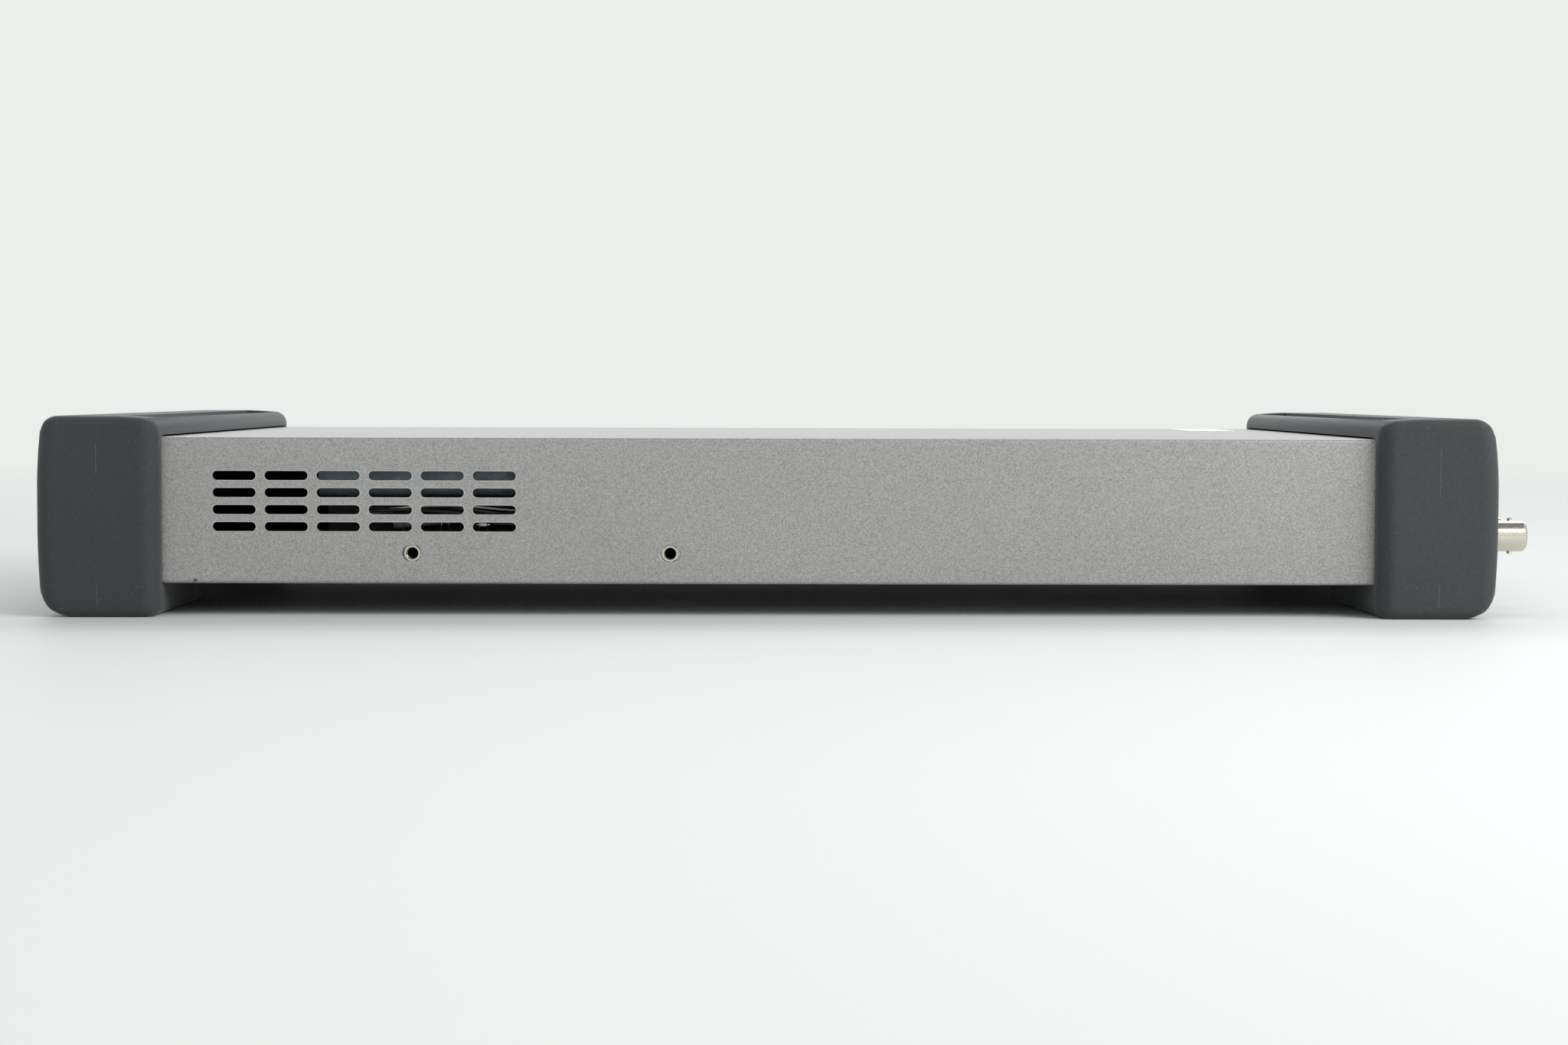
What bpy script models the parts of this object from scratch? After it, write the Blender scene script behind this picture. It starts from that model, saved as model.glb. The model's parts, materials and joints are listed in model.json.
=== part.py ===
"""Half-rack function generator in a sheet-metal sleeve with a rubber bumper at each end.

Metres, +Z up.  The front panel faces -Y and the width runs along X.  The origin is
on the floor under the middle of the whole instrument, connectors included.
"""

import math

import bmesh
import bpy
from mathutils import Matrix, Vector

# ---------------------------------------------------------------- driving dimensions
OVERALL_LENGTH = 0.4278      # outer face of one bumper to outer face of the other
CONNECTOR_REACH = 0.0165     # front connector tips in front of the front bumper
BODY_WIDTH = 0.2123          # half of a 19-inch rack bay
BODY_HEIGHT = 0.0430         # one rack unit less its clearance
BUMPER_LENGTH = 0.0358
BUMPER_PROUD = 0.0069        # rubber outside the sleeve's sides
TOP_RISE = 0.0061            # rubber above the sleeve
FOOT_DROP = 0.0096           # rubber below the sleeve
REAR_RECESS = 0.0150         # rear panel behind the rear bumper's face
SHEET = 0.0010               # sleeve's sheet metal
TRAY_SHEET = 0.0012
FIT = 0.0003                 # gap left between pieces that touch

# ---------------------------------------------------------------- places that follow
Y_REAR = (OVERALL_LENGTH + CONNECTOR_REACH) / 2
Y_FRONT = Y_REAR - OVERALL_LENGTH
Z_BODY = FOOT_DROP
Z_TOP = FOOT_DROP + BODY_HEIGHT
Z_MID = (Z_BODY + Z_TOP) / 2
BEZEL_DEPTH = 0.0120
Y_SLEEVE_FRONT = Y_FRONT + BEZEL_DEPTH
Y_SLEEVE_REAR = Y_REAR - REAR_RECESS
SLEEVE_LENGTH = Y_SLEEVE_REAR - Y_SLEEVE_FRONT
SLEEVE_MID = (Y_SLEEVE_REAR + Y_SLEEVE_FRONT) / 2
INNER_WIDTH = BODY_WIDTH - 2 * SHEET
INNER_HEIGHT = BODY_HEIGHT - 2 * SHEET

# ---------------------------------------------------------------- bumpers
LIP = 0.0030                 # stop at a bumper's outer end
LIP_COVER = 0.0030           # how far the stop reaches in over the sleeve
SOFT_EDGE = 0.0050           # upright edges and the outer top edge
FOOT_EDGE = 0.0090           # outer bottom edge
INNER_FOOT_EDGE = 0.0030
INNER_TOP_EDGE = 0.0012
SIDE_EDGE = 0.0026           # edges that run front to back
POCKET_DEPTH = 0.0030
POCKET_END = 0.0150          # full-height rubber at each end of a pocket
INNER_RIM = 0.0035
OUTER_RIM = 0.0233
FOOT_LENGTH = 0.0680         # each foot across the width
ARCH_ROOF = 0.0045           # rubber left above the gap between two feet

# ---------------------------------------------------------------- vents and inserts
VENT_COLUMNS = 6
VENT_ROWS = 4
VENT_LENGTH = 0.01266
VENT_WIDTH = 0.00266
VENT_COLUMN_PITCH = 0.01524
VENT_ROW_PITCH = 0.00500
VENT_FIRST_COLUMN = 0.0569   # from the rear bumper's outer face
VENT_FIRST_ROW = 0.0113      # from the sleeve's top
INSERT_FIRST = 0.1089
INSERT_SPACING = 0.0758
INSERT_RISE = 0.0089         # above the sleeve's bottom
INSERT_HOLE = (0.0059, 0.00455)
INSERT_SHANK = 0.00245
INSERT_BORE = 0.00167
INSERT_HEAD = 0.0036
NOTCH_SIZE = 0.0013
NOTCH_FROM_REAR = 0.0455

# ---------------------------------------------------------------- front panel
FACE_RECESS = 0.0010
FACE_THICKNESS = 0.0025
Y_FACE = Y_FRONT + FACE_RECESS
KEY_PROUD = 0.0012
KEY_FLANGE = 0.0010
BOARD = 0.0016
DISPLAY_CENTRE = (-0.0020, 0.0362)
DISPLAY_SIZE = (0.0740, 0.0220)
SOFT_KEYS = 5
SOFT_KEY_SIZE = (0.0110, 0.0050)
SOFT_KEY_PITCH = 0.0148
SOFT_KEY_Z = 0.0178
FUNCTION_KEY_SIZE = (0.0100, 0.0058)
FUNCTION_KEY_X = 0.0470
FUNCTION_KEY_Z = (0.0415, 0.0312, 0.0209)
ARROW_SIZE = (0.0060, 0.0052)
ARROW_CENTRE = (0.0640, 0.0312)
ARROW_STEP = 0.0070
POWER_CENTRE = (-0.0930, 0.0410)
POWER_SIZE = (0.0100, 0.0070)
KNOB_CENTRE = (0.0875, 0.0312)
KNOB_RADIUS = 0.0118
KNOB_HEIGHT = 0.0135
CONNECTOR_Z = Z_BODY + 0.0132
SYNC_X = -0.0760
OUTPUT_X = -0.0500
USB_CENTRE = (-0.0600, 0.0415)
USB_SIZE = (0.0145, 0.0072)

# ---------------------------------------------------------------- rear panel
PANEL = 0.0015
INLET_X = 0.0820
INLET_OPENING = (0.0270, 0.0196)
INLET_FLANGE = (0.0310, 0.0240)
INLET_DEPTH = 0.0160
FAN_X = 0.0430
FAN_SIZE = 0.0376
FAN_DEPTH = 0.0180
FAN_RIM = 0.0014             # frame left around the bore
REAR_CONNECTOR_X = (-0.0040, -0.0240, -0.0440)
LAN_CENTRE = (-0.0660, 0.0300)
LAN_SIZE = (0.0160, 0.0134)
USB_B_CENTRE = (-0.0865, 0.0300)
USB_B_SIZE = (0.0120, 0.0110)
STUD_CENTRE = (0.0130, 0.0210)

# ---------------------------------------------------------------- inside
STANDOFF = 0.0050
Z_FLOOR = Z_BODY + SHEET + FIT + TRAY_SHEET
Z_BOARD = Z_FLOOR + FIT + STANDOFF + FIT
MAIN_BOARD = (0.1250, 0.3100)
MAIN_BOARD_CENTRE = (0.0350, -0.0200)

TURN = math.radians(90)
FACING = {
    "-Y": (TURN, 0.0, 0.0),
    "+Y": (-TURN, 0.0, 0.0),
    "-X": (0.0, -TURN, 0.0),
    "+X": (0.0, TURN, 0.0),
    "+Z": (0.0, 0.0, 0.0),
}


# ---------------------------------------------------------------- scene and materials
def clear_scene():
    for obj in list(bpy.data.objects):
        bpy.data.objects.remove(obj, do_unlink=True)


def new_collection(name):
    collection = bpy.data.collections.new(name)
    bpy.context.scene.collection.children.link(collection)
    return collection


def material(name, colour, roughness, metallic=0.0):
    mat = bpy.data.materials.get(name)
    if mat is None:
        mat = bpy.data.materials.new(name)
        mat.use_nodes = True
        shader = mat.node_tree.nodes["Principled BSDF"]
        shader.inputs["Base Color"].default_value = (*colour, 1.0)
        shader.inputs["Roughness"].default_value = roughness
        shader.inputs["Metallic"].default_value = metallic
        mat.diffuse_color = (*colour, 1.0)
    return mat


def rubber():
    return material("charcoal rubber", (0.052, 0.057, 0.061), 0.82)


def sleeve_paint():
    return material("metallic grey paint", (0.30, 0.30, 0.29), 0.42, 0.35)


def zinc_sheet():
    return material("zinc-plated sheet", (0.42, 0.46, 0.48), 0.38, 1.0)


def nickel():
    return material("nickel plate", (0.74, 0.71, 0.62), 0.22, 1.0)


def bezel_plastic():
    return material("dark grey ABS", (0.060, 0.063, 0.068), 0.55)


def key_plastic():
    return material("light grey ABS", (0.46, 0.47, 0.47), 0.50)


def black_plastic():
    return material("black polycarbonate", (0.020, 0.020, 0.022), 0.45)


def window_glass():
    return material("display window", (0.030, 0.034, 0.040), 0.08)


def lcd_glass():
    return material("liquid crystal cell", (0.16, 0.20, 0.24), 0.20)


def board_laminate():
    return material("green laminate", (0.030, 0.150, 0.070), 0.50)


def white_plastic():
    return material("white PTFE", (0.80, 0.80, 0.78), 0.45)


def copper_winding():
    return material("yellow-taped winding", (0.62, 0.48, 0.10), 0.55)


def aluminium():
    return material("black anodised aluminium", (0.040, 0.040, 0.042), 0.40, 0.8)


def cable_skin():
    return material("grey cable insulation", (0.40, 0.41, 0.42), 0.55)


# ---------------------------------------------------------------- modelling helpers
def place(obj, mat, collection):
    for old in list(obj.users_collection):
        old.objects.unlink(obj)
    collection.objects.link(obj)
    if mat is not None:
        obj.data.materials.clear()
        obj.data.materials.append(mat)
    return obj


def hide(obj):
    place(obj, None, CUTTERS)
    obj.hide_render = True
    obj.display_type = "WIRE"
    return obj


def block(name, size, centre, mat=None, bevel=0.0, segments=2):
    """A box with its edges rounded by a Bevel modifier."""
    bpy.ops.mesh.primitive_cube_add(size=1.0, location=centre)
    obj = bpy.context.object
    obj.name = name
    obj.data.transform(Matrix.Diagonal((*size, 1.0)))
    if bevel > 0:
        round_edges(obj, bevel, segments)
    return place(obj, mat, PARTS)


def round_edges(obj, width, segments=2, limit="ANGLE"):
    modifier = obj.modifiers.new("Bevel", "BEVEL")
    modifier.width = width
    modifier.segments = segments
    modifier.limit_method = limit
    modifier.angle_limit = math.radians(40)
    return modifier


def rod(name, radius, length, centre, facing="-Y", mat=None, vertices=24):
    """A plain cylinder centred on a point, its axis along the facing direction."""
    bpy.ops.mesh.primitive_cylinder_add(radius=radius, depth=length, vertices=vertices,
                                        location=centre, rotation=FACING[facing])
    obj = bpy.context.object
    obj.name = name
    shade(obj)
    return place(obj, mat, PARTS)


def shade(obj):
    obj.data.shade_smooth()
    obj.data.set_sharp_from_angle(angle=math.radians(35))


def turned(name, profile, origin, facing, mat=None, steps=24):
    """A turned solid: (radius, height) points, inner side up and outer side down."""
    mesh = bpy.data.meshes.new(name)
    bm = bmesh.new()
    verts = [bm.verts.new((radius, 0.0, height)) for radius, height in profile]
    for first, second in zip(verts, verts[1:]):
        bm.edges.new((first, second))
    if profile[0][0] > 0:
        bm.edges.new((verts[-1], verts[0]))
    bm.to_mesh(mesh)
    bm.free()
    obj = bpy.data.objects.new(name, mesh)
    obj.location = origin
    obj.rotation_euler = FACING[facing]
    PARTS.objects.link(obj)
    screw = obj.modifiers.new("Screw", "SCREW")
    screw.axis = "Z"
    screw.steps = steps
    screw.render_steps = steps
    screw.use_merge_vertices = True
    screw.merge_threshold = 0.00001
    if mat is not None:
        mesh.materials.append(mat)
    return obj


def corner_points(width, height, radius, arc):
    """Outline of a rectangle with round corners; a radius of half a side gives an obround."""
    points = []
    for quarter, (sx, sy) in enumerate(((1, 1), (-1, 1), (-1, -1), (1, -1))):
        cx = sx * (width / 2 - radius)
        cy = sy * (height / 2 - radius)
        for step in range(arc + 1):
            angle = math.radians(90) * (quarter + step / arc)
            points.append((cx + radius * math.cos(angle), cy + radius * math.sin(angle)))
    distinct = []
    for point in points:
        if not distinct or math.dist(point, distinct[-1]) > 1e-6:
            distinct.append(point)
    if math.dist(distinct[0], distinct[-1]) < 1e-6:
        distinct.pop()
    return distinct


def slab(name, outlines, thickness, origin, facing, mat=None):
    """Flat outlines, each (centre, width, height, radius, arc), made solid along one axis."""
    curve = bpy.data.curves.new(name, "CURVE")
    curve.dimensions = "2D"
    curve.fill_mode = "BOTH"
    curve.extrude = thickness / 2
    for (cx, cy), width, height, radius, arc in outlines:
        points = corner_points(width, height, radius, arc)
        spline = curve.splines.new("POLY")
        spline.points.add(len(points) - 1)
        for target, (x, y) in zip(spline.points, points):
            target.co = (cx + x, cy + y, 0.0, 1.0)
        spline.use_cyclic_u = True
    drawn = bpy.data.objects.new(name, curve)
    drawn.location = origin
    drawn.rotation_euler = FACING[facing]
    bpy.context.scene.collection.objects.link(drawn)
    obj = as_mesh(drawn, name)
    return place(obj, mat, PARTS)


def as_mesh(drawn, name):
    """Turn a curve object into a welded mesh object at the same place."""
    bpy.context.view_layer.update()
    evaluated = drawn.evaluated_get(bpy.context.evaluated_depsgraph_get())
    mesh = bpy.data.meshes.new_from_object(evaluated)
    bm = bmesh.new()
    bm.from_mesh(mesh)
    bmesh.ops.remove_doubles(bm, verts=bm.verts, dist=0.000001)
    bmesh.ops.recalc_face_normals(bm, faces=bm.faces)
    bm.to_mesh(mesh)
    bm.free()
    obj = bpy.data.objects.new(name, mesh)
    obj.matrix_world = drawn.matrix_world.copy()
    bpy.context.scene.collection.objects.link(obj)
    bpy.data.objects.remove(drawn, do_unlink=True)
    obj.name = name
    return obj


def tube(name, points, radius, mat, resolution=2):
    """A round wire through a few points."""
    curve = bpy.data.curves.new(name, "CURVE")
    curve.dimensions = "3D"
    curve.bevel_depth = radius
    curve.bevel_resolution = resolution
    curve.use_fill_caps = True
    spline = curve.splines.new("POLY")
    spline.points.add(len(points) - 1)
    for target, point in zip(spline.points, points):
        target.co = (*point, 1.0)
    drawn = bpy.data.objects.new(name, curve)
    bpy.context.scene.collection.objects.link(drawn)
    obj = as_mesh(drawn, name)
    shade(obj)
    return place(obj, mat, PARTS)


def combine(target, other, operation, solver="EXACT"):
    modifier = target.modifiers.new(operation.title(), "BOOLEAN")
    modifier.operation = operation
    modifier.solver = solver
    modifier.object = hide(other)
    return target


def cut(target, *others, solver="EXACT"):
    for other in others:
        combine(target, other, "DIFFERENCE", solver)
    return target


def fuse(target, *others):
    for other in others:
        combine(target, other, "UNION")
    return target


# ---------------------------------------------------------------- bumpers
def bumper(name, outer_y, inward):
    """A rubber ring with a stacking pocket on top and a foot at each bottom corner."""
    width = BODY_WIDTH + 2 * BUMPER_PROUD
    height = TOP_RISE + BODY_HEIGHT + FOOT_DROP
    centre = Vector((0.0, outer_y + inward * BUMPER_LENGTH / 2, height / 2))
    ring = block(name, (width, BUMPER_LENGTH, height), centre, rubber())
    weigh_edges(ring, outward=-inward)
    modifier = round_edges(ring, FOOT_EDGE, segments=3, limit="WEIGHT")
    modifier.offset_type = "OFFSET"

    deep = BUMPER_LENGTH - LIP
    seat_centre = (0.0, outer_y + inward * (LIP + deep / 2 + 0.005), Z_MID)
    seat = block(name + "_seat", (BODY_WIDTH + 2 * FIT, deep + 0.010, BODY_HEIGHT + 2 * FIT),
                 seat_centre)
    mouth = slab(name + "_mouth",
                 [((0.0, 0.0), BODY_WIDTH - 2 * LIP_COVER, BODY_HEIGHT - 2 * LIP_COVER, 0.002, 3)],
                 0.020, (0.0, outer_y, Z_MID), "-Y")
    pocket_width = width - 2 * POCKET_END
    pocket_length = BUMPER_LENGTH - INNER_RIM - OUTER_RIM
    pocket_y = outer_y + inward * (OUTER_RIM + pocket_length / 2)
    pocket = block(name + "_pocket", (pocket_width, pocket_length, 2 * POCKET_DEPTH),
                   (0.0, pocket_y, height))
    gap_height = 2 * (FOOT_DROP - ARCH_ROOF)
    arch = block(name + "_arch", (width - 2 * FOOT_LENGTH, BUMPER_LENGTH + 0.020, gap_height),
                 (0.0, centre.y, 0.0))
    return cut(ring, seat, mouth, pocket, arch)


def weigh_edges(ring, outward):
    """Give each edge of the bumper its own roundness as a share of the foot edge."""
    bm = bmesh.new()
    bm.from_mesh(ring.data)
    layer = bm.edges.layers.float.get("bevel_weight_edge")
    if layer is None:
        layer = bm.edges.layers.float.new("bevel_weight_edge")
    for edge in bm.edges:
        middle = (edge.verts[0].co + edge.verts[1].co) / 2
        along = edge.verts[1].co - edge.verts[0].co
        outer = middle.y * outward > 0.001
        low = middle.z < -0.001
        high = middle.z > 0.001
        if abs(along.y) > 0.001:
            roundness = SIDE_EDGE
        elif outer and low:
            roundness = FOOT_EDGE
        elif outer or not (low or high):
            roundness = SOFT_EDGE
        elif low:
            roundness = INNER_FOOT_EDGE
        else:
            roundness = INNER_TOP_EDGE
        edge[layer] = roundness / FOOT_EDGE
    bm.to_mesh(ring.data)
    bm.free()


# ---------------------------------------------------------------- sleeve and chassis
def vent_centres():
    """Centre (y, z) of each slot."""
    for column in range(VENT_COLUMNS):
        for row in range(VENT_ROWS):
            yield (Y_REAR - VENT_FIRST_COLUMN - column * VENT_COLUMN_PITCH,
                   Z_TOP - VENT_FIRST_ROW - row * VENT_ROW_PITCH)


def insert_places():
    return [(Y_REAR - INSERT_FIRST - step * INSERT_SPACING, Z_BODY + INSERT_RISE)
            for step in range(2)]


def cover_sleeve():
    sleeve = slab("cover_sleeve", [((0.0, 0.0), BODY_WIDTH, BODY_HEIGHT, 0.0015, 3)],
                  SLEEVE_LENGTH, (0.0, SLEEVE_MID, Z_MID), "-Y", sleeve_paint())
    hollow = slab("sleeve_hollow", [((0.0, 0.0), INNER_WIDTH, INNER_HEIGHT, 0.0005, 2)],
                  SLEEVE_LENGTH + 0.010, (0.0, SLEEVE_MID, Z_MID), "-Y")
    slots = [((z, y), VENT_WIDTH, VENT_LENGTH, VENT_WIDTH / 2, 3) for y, z in vent_centres()]
    vents = slab("sleeve_vents", slots, BODY_WIDTH + 0.020, (0.0, 0.0, 0.0), "-X")
    obrounds = [((z, y), INSERT_HOLE[1], INSERT_HOLE[0], INSERT_HOLE[1] / 2, 4)
                for y, z in insert_places()]
    holes = slab("sleeve_insert_holes", obrounds, BODY_WIDTH + 0.020, (0.0, 0.0, 0.0), "-X")
    cut(sleeve, hollow, vents, holes, solver="MANIFOLD")
    for side in (-1, 1):
        notch = block("sleeve_notch", (0.0030, NOTCH_SIZE, 2 * NOTCH_SIZE),
                      (side * BODY_WIDTH / 2, Y_REAR - NOTCH_FROM_REAR, Z_BODY))
        cut(sleeve, notch)
    return sleeve


def chassis_tray():
    width = INNER_WIDTH - 2 * FIT
    height = 0.0360
    length = SLEEVE_LENGTH - 0.008
    base = Z_BODY + SHEET + FIT
    centre_y = SLEEVE_MID - 0.002
    tray = block("chassis_tray", (width, length, height), (0.0, centre_y, base + height / 2),
                 zinc_sheet())
    hollow = block("tray_hollow", (width - 2 * TRAY_SHEET, length + 0.010, height),
                   (0.0, centre_y, base + TRAY_SHEET + height / 2))
    span = (VENT_COLUMNS - 1) * VENT_COLUMN_PITCH + 0.020
    drop = (VENT_ROWS - 1) * VENT_ROW_PITCH + 0.006
    window = block("tray_window", (BODY_WIDTH, span, drop),
                   (0.0, Y_REAR - VENT_FIRST_COLUMN - (span - 0.020) / 2,
                    Z_TOP - VENT_FIRST_ROW - (drop - 0.006) / 2))
    bores = []
    for y, z in insert_places():
        bores.append(rod("tray_bore", INSERT_SHANK + FIT, BODY_WIDTH, (0.0, y, z), "-X",
                         vertices=20))
    return cut(tray, hollow, window, *bores)


def insert_nuts():
    """Press-in nuts on both side walls, their shanks flush with the chassis walls."""
    half = INNER_WIDTH / 2 - FIT
    wall = TRAY_SHEET + FIT
    for side, facing, sign in (("left", "-X", -1), ("right", "+X", 1)):
        for place_name, (y, z) in zip(("rear", "front"), insert_places()):
            profile = [(INSERT_BORE, -0.0045), (INSERT_BORE, 0.0), (INSERT_SHANK, 0.0),
                       (INSERT_SHANK, -wall), (INSERT_HEAD, -wall), (INSERT_HEAD, -0.0045)]
            turned(f"insert_nut_{side}_{place_name}", profile, (sign * half, y, z), facing,
                   nickel(), steps=20)


# ---------------------------------------------------------------- front panel
def key_places():
    """Name, centre (x, z) and size of every button on the front."""
    keys = [("power_button", POWER_CENTRE, POWER_SIZE)]
    first = DISPLAY_CENTRE[0] - SOFT_KEY_PITCH * (SOFT_KEYS - 1) / 2
    for index in range(SOFT_KEYS):
        keys.append((f"soft_key_{index + 1}", (first + index * SOFT_KEY_PITCH, SOFT_KEY_Z),
                     SOFT_KEY_SIZE))
    for name, z in zip(("waveform_key", "utility_key", "output_key"), FUNCTION_KEY_Z):
        keys.append((name, (FUNCTION_KEY_X, z), FUNCTION_KEY_SIZE))
    for name, sx, sz in (("up_key", 0, 1), ("down_key", 0, -1), ("left_key", -1, 0),
                         ("right_key", 1, 0)):
        keys.append((name, (ARROW_CENTRE[0] + sx * ARROW_STEP, ARROW_CENTRE[1] + sz * ARROW_STEP),
                     ARROW_SIZE))
    return keys


def front_bezel():
    """A plastic frame behind the bumper's lip, hollow at the back for keys and display."""
    rim_front = Y_FRONT + LIP + FIT
    rim_back = Y_SLEEVE_FRONT - FIT
    rim_depth = rim_back - rim_front
    face_width = BODY_WIDTH - 2 * LIP_COVER - 2 * FIT
    face_height = BODY_HEIGHT - 2 * LIP_COVER - 2 * FIT
    bezel = slab("front_bezel", [((0.0, 0.0), BODY_WIDTH - 2 * FIT, BODY_HEIGHT - 2 * FIT,
                                  0.0014, 2)],
                 rim_depth, (0.0, (rim_front + rim_back) / 2, Z_MID), "-Y", bezel_plastic())
    nose_depth = rim_front - Y_FACE + 0.001
    nose = slab("bezel_nose", [((0.0, 0.0), face_width, face_height, 0.0018, 3)],
                nose_depth, (0.0, Y_FACE + nose_depth / 2, Z_MID), "-Y")
    fuse(bezel, nose)
    back = Y_FACE + FACE_THICKNESS
    hollow_depth = Y_SLEEVE_FRONT - back + 0.010
    hollow = block("bezel_hollow", (face_width - 0.004, hollow_depth, face_height - 0.003),
                   (0.0, back + hollow_depth / 2, Z_MID))
    cut(bezel, hollow)
    openings = [((x, z - Z_MID), width + 2 * FIT, height + 2 * FIT, 0.0010, 2)
                for _, (x, z), (width, height) in key_places()]
    openings.append(((DISPLAY_CENTRE[0], DISPLAY_CENTRE[1] - Z_MID), DISPLAY_SIZE[0] + 2 * FIT,
                     DISPLAY_SIZE[1] + 2 * FIT, 0.0012, 2))
    openings.append(((USB_CENTRE[0], USB_CENTRE[1] - Z_MID), USB_SIZE[0] + 2 * FIT,
                     USB_SIZE[1] + 2 * FIT, 0.0008, 2))
    for x in (SYNC_X, OUTPUT_X):
        openings.append(((x, CONNECTOR_Z - Z_MID), 0.0130 + 2 * FIT, 0.0130 + 2 * FIT,
                         0.0065 + FIT, 5))
    openings.append(((KNOB_CENTRE[0], KNOB_CENTRE[1] - Z_MID), 0.0076, 0.0076, 0.0038, 4))
    punch = slab("bezel_openings", openings, 0.010, (0.0, back - FACE_THICKNESS / 2, Z_MID), "-Y")
    return cut(bezel, punch)


def keys():
    """Caps with a hidden flange that keeps each one behind the face."""
    front = Y_FACE - KEY_PROUD
    back = Y_FACE + FACE_THICKNESS + FIT
    for name, (x, z), (width, height) in key_places():
        mat = black_plastic() if name == "power_button" else key_plastic()
        cap = slab(name, [((0.0, 0.0), width, height, 0.0009, 2)], back + KEY_FLANGE - front,
                   (x, (front + back + KEY_FLANGE) / 2, z), "-Y", mat)
        flange = block(name + "_flange", (width + 0.0012, KEY_FLANGE, height + 0.0012),
                       (x, back + KEY_FLANGE / 2, z))
        fuse(cap, flange)


def display():
    window_depth = FACE_THICKNESS
    slab("display_window", [((0.0, 0.0), DISPLAY_SIZE[0], DISPLAY_SIZE[1], 0.0010, 2)],
         window_depth, (DISPLAY_CENTRE[0], Y_FACE + 0.0003 + window_depth / 2,
                        DISPLAY_CENTRE[1]), "-Y", window_glass())
    cell_front = Y_FACE + 0.0003 + window_depth + FIT
    cell_back = front_board_y() - BOARD / 2 - FIT
    block("display_module", (DISPLAY_SIZE[0] + 0.002, cell_back - cell_front,
                             DISPLAY_SIZE[1] + 0.0005),
          (DISPLAY_CENTRE[0], (cell_front + cell_back) / 2, DISPLAY_CENTRE[1]), lcd_glass())


def front_board_y():
    return Y_SLEEVE_FRONT - 0.0026


def front_board():
    board = block("front_board", (0.1960, BOARD, 0.0325), (0.0, front_board_y(), Z_MID),
                  board_laminate())
    holes = [rod("board_hole", 0.0066, 0.010, (x, front_board_y(), CONNECTOR_Z), "-Y")
             for x in (SYNC_X, OUTPUT_X)]
    return cut(board, *holes)


def knob_and_encoder():
    x, z = KNOB_CENTRE
    seat = Y_FACE - 0.0010
    height = KNOB_HEIGHT
    outer = [(0.0, height), (KNOB_RADIUS - 0.0022, height), (KNOB_RADIUS - 0.0009, height - 0.0009),
             (KNOB_RADIUS, 0.0015), (0.0112, 0.0)]
    bore = [(0.0033, 0.0), (0.0033, 0.0090), (0.0, 0.0090)]
    knob = turned("adjust_knob", outer + bore, (x, seat, z), "-Y", key_plastic(), steps=32)
    bpy.ops.mesh.primitive_uv_sphere_add(segments=16, ring_count=8, radius=0.0058,
                                         location=(x, seat - height - 0.0038, z + 0.0052))
    dimple = bpy.context.object
    dimple.name = "knob_dimple"
    cut(knob, dimple)
    back = front_board_y() - BOARD / 2 - FIT
    front = Y_FACE + FACE_THICKNESS + FIT
    body = block("rotary_encoder", (0.0120, back - front, 0.0120), (x, (front + back) / 2, z),
                 zinc_sheet())
    bush = rod("encoder_bush", 0.0034, front + 0.0005 - (Y_FACE - 0.0003),
               (x, (front + 0.0005 + Y_FACE - 0.0003) / 2, z), "-Y")
    shaft_tip = seat - 0.0087
    shaft = rod("encoder_shaft", 0.0030, front - shaft_tip, (x, (front + shaft_tip) / 2, z), "-Y")
    fuse(body, bush, shaft)


def coaxial_profile(tip, floor, collar, back):
    """Barrel of a bayonet connector, its outer end up: bore, rim, barrel, collar, tail."""
    return [(0.0, floor), (0.00405, floor), (0.00405, tip), (0.00440, tip), (0.00483, tip - 0.0006),
            (0.00483, collar), (0.0064, collar), (0.0064, back), (0.0, back)]


def coaxial(name, x, z, seat_y, facing, reach, insulated):
    """A bayonet connector with two lugs; the collar's back end is the tail in the panel."""
    sign = -1 if facing == "-Y" else 1
    shell = turned(name, coaxial_profile(reach, reach - 0.0110, 0.0026, -0.0085),
                   (x, seat_y, z), facing, nickel(), steps=24)
    for side in (-1, 1):
        lug = rod(name + "_lug", 0.0010, 0.0012,
                  (x, seat_y + sign * (reach - 0.0054), z + side * 0.00492), "+Z", vertices=10)
        fuse(shell, lug)
    if insulated:
        profile = [(0.0, 0.0035), (0.0008, 0.0035), (0.0008, 0.0090), (0.0025, 0.0090),
                   (0.0025, 0.0), (0.0, 0.0)]
        turned(name + "_insulator", profile,
               (x, seat_y + sign * (reach - 0.0110 + FIT), z), facing, white_plastic(), steps=16)
    return shell


def front_connectors():
    reach = CONNECTOR_REACH + FACE_RECESS
    for name, x in (("sync_connector", SYNC_X), ("output_connector", OUTPUT_X)):
        coaxial(name, x, CONNECTOR_Z, Y_FACE, "-Y", reach, insulated=True)
    x, z = USB_CENTRE
    back = front_board_y() - BOARD / 2 - FIT
    port = block("usb_host_port", (USB_SIZE[0], back - Y_FACE, USB_SIZE[1]),
                 (x, (back + Y_FACE) / 2, z), nickel())
    mouth = block("usb_mouth", (0.0125, 0.0120, 0.0052), (x, Y_FACE, z))
    tongue = block("usb_tongue", (0.0110, 0.0063, 0.0018), (x, Y_FACE + 0.0035, z + 0.0006))
    cut(port, mouth)
    fuse(port, tongue)


# ---------------------------------------------------------------- rear panel
def panel_y():
    return Y_SLEEVE_REAR - PANEL / 2


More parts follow.
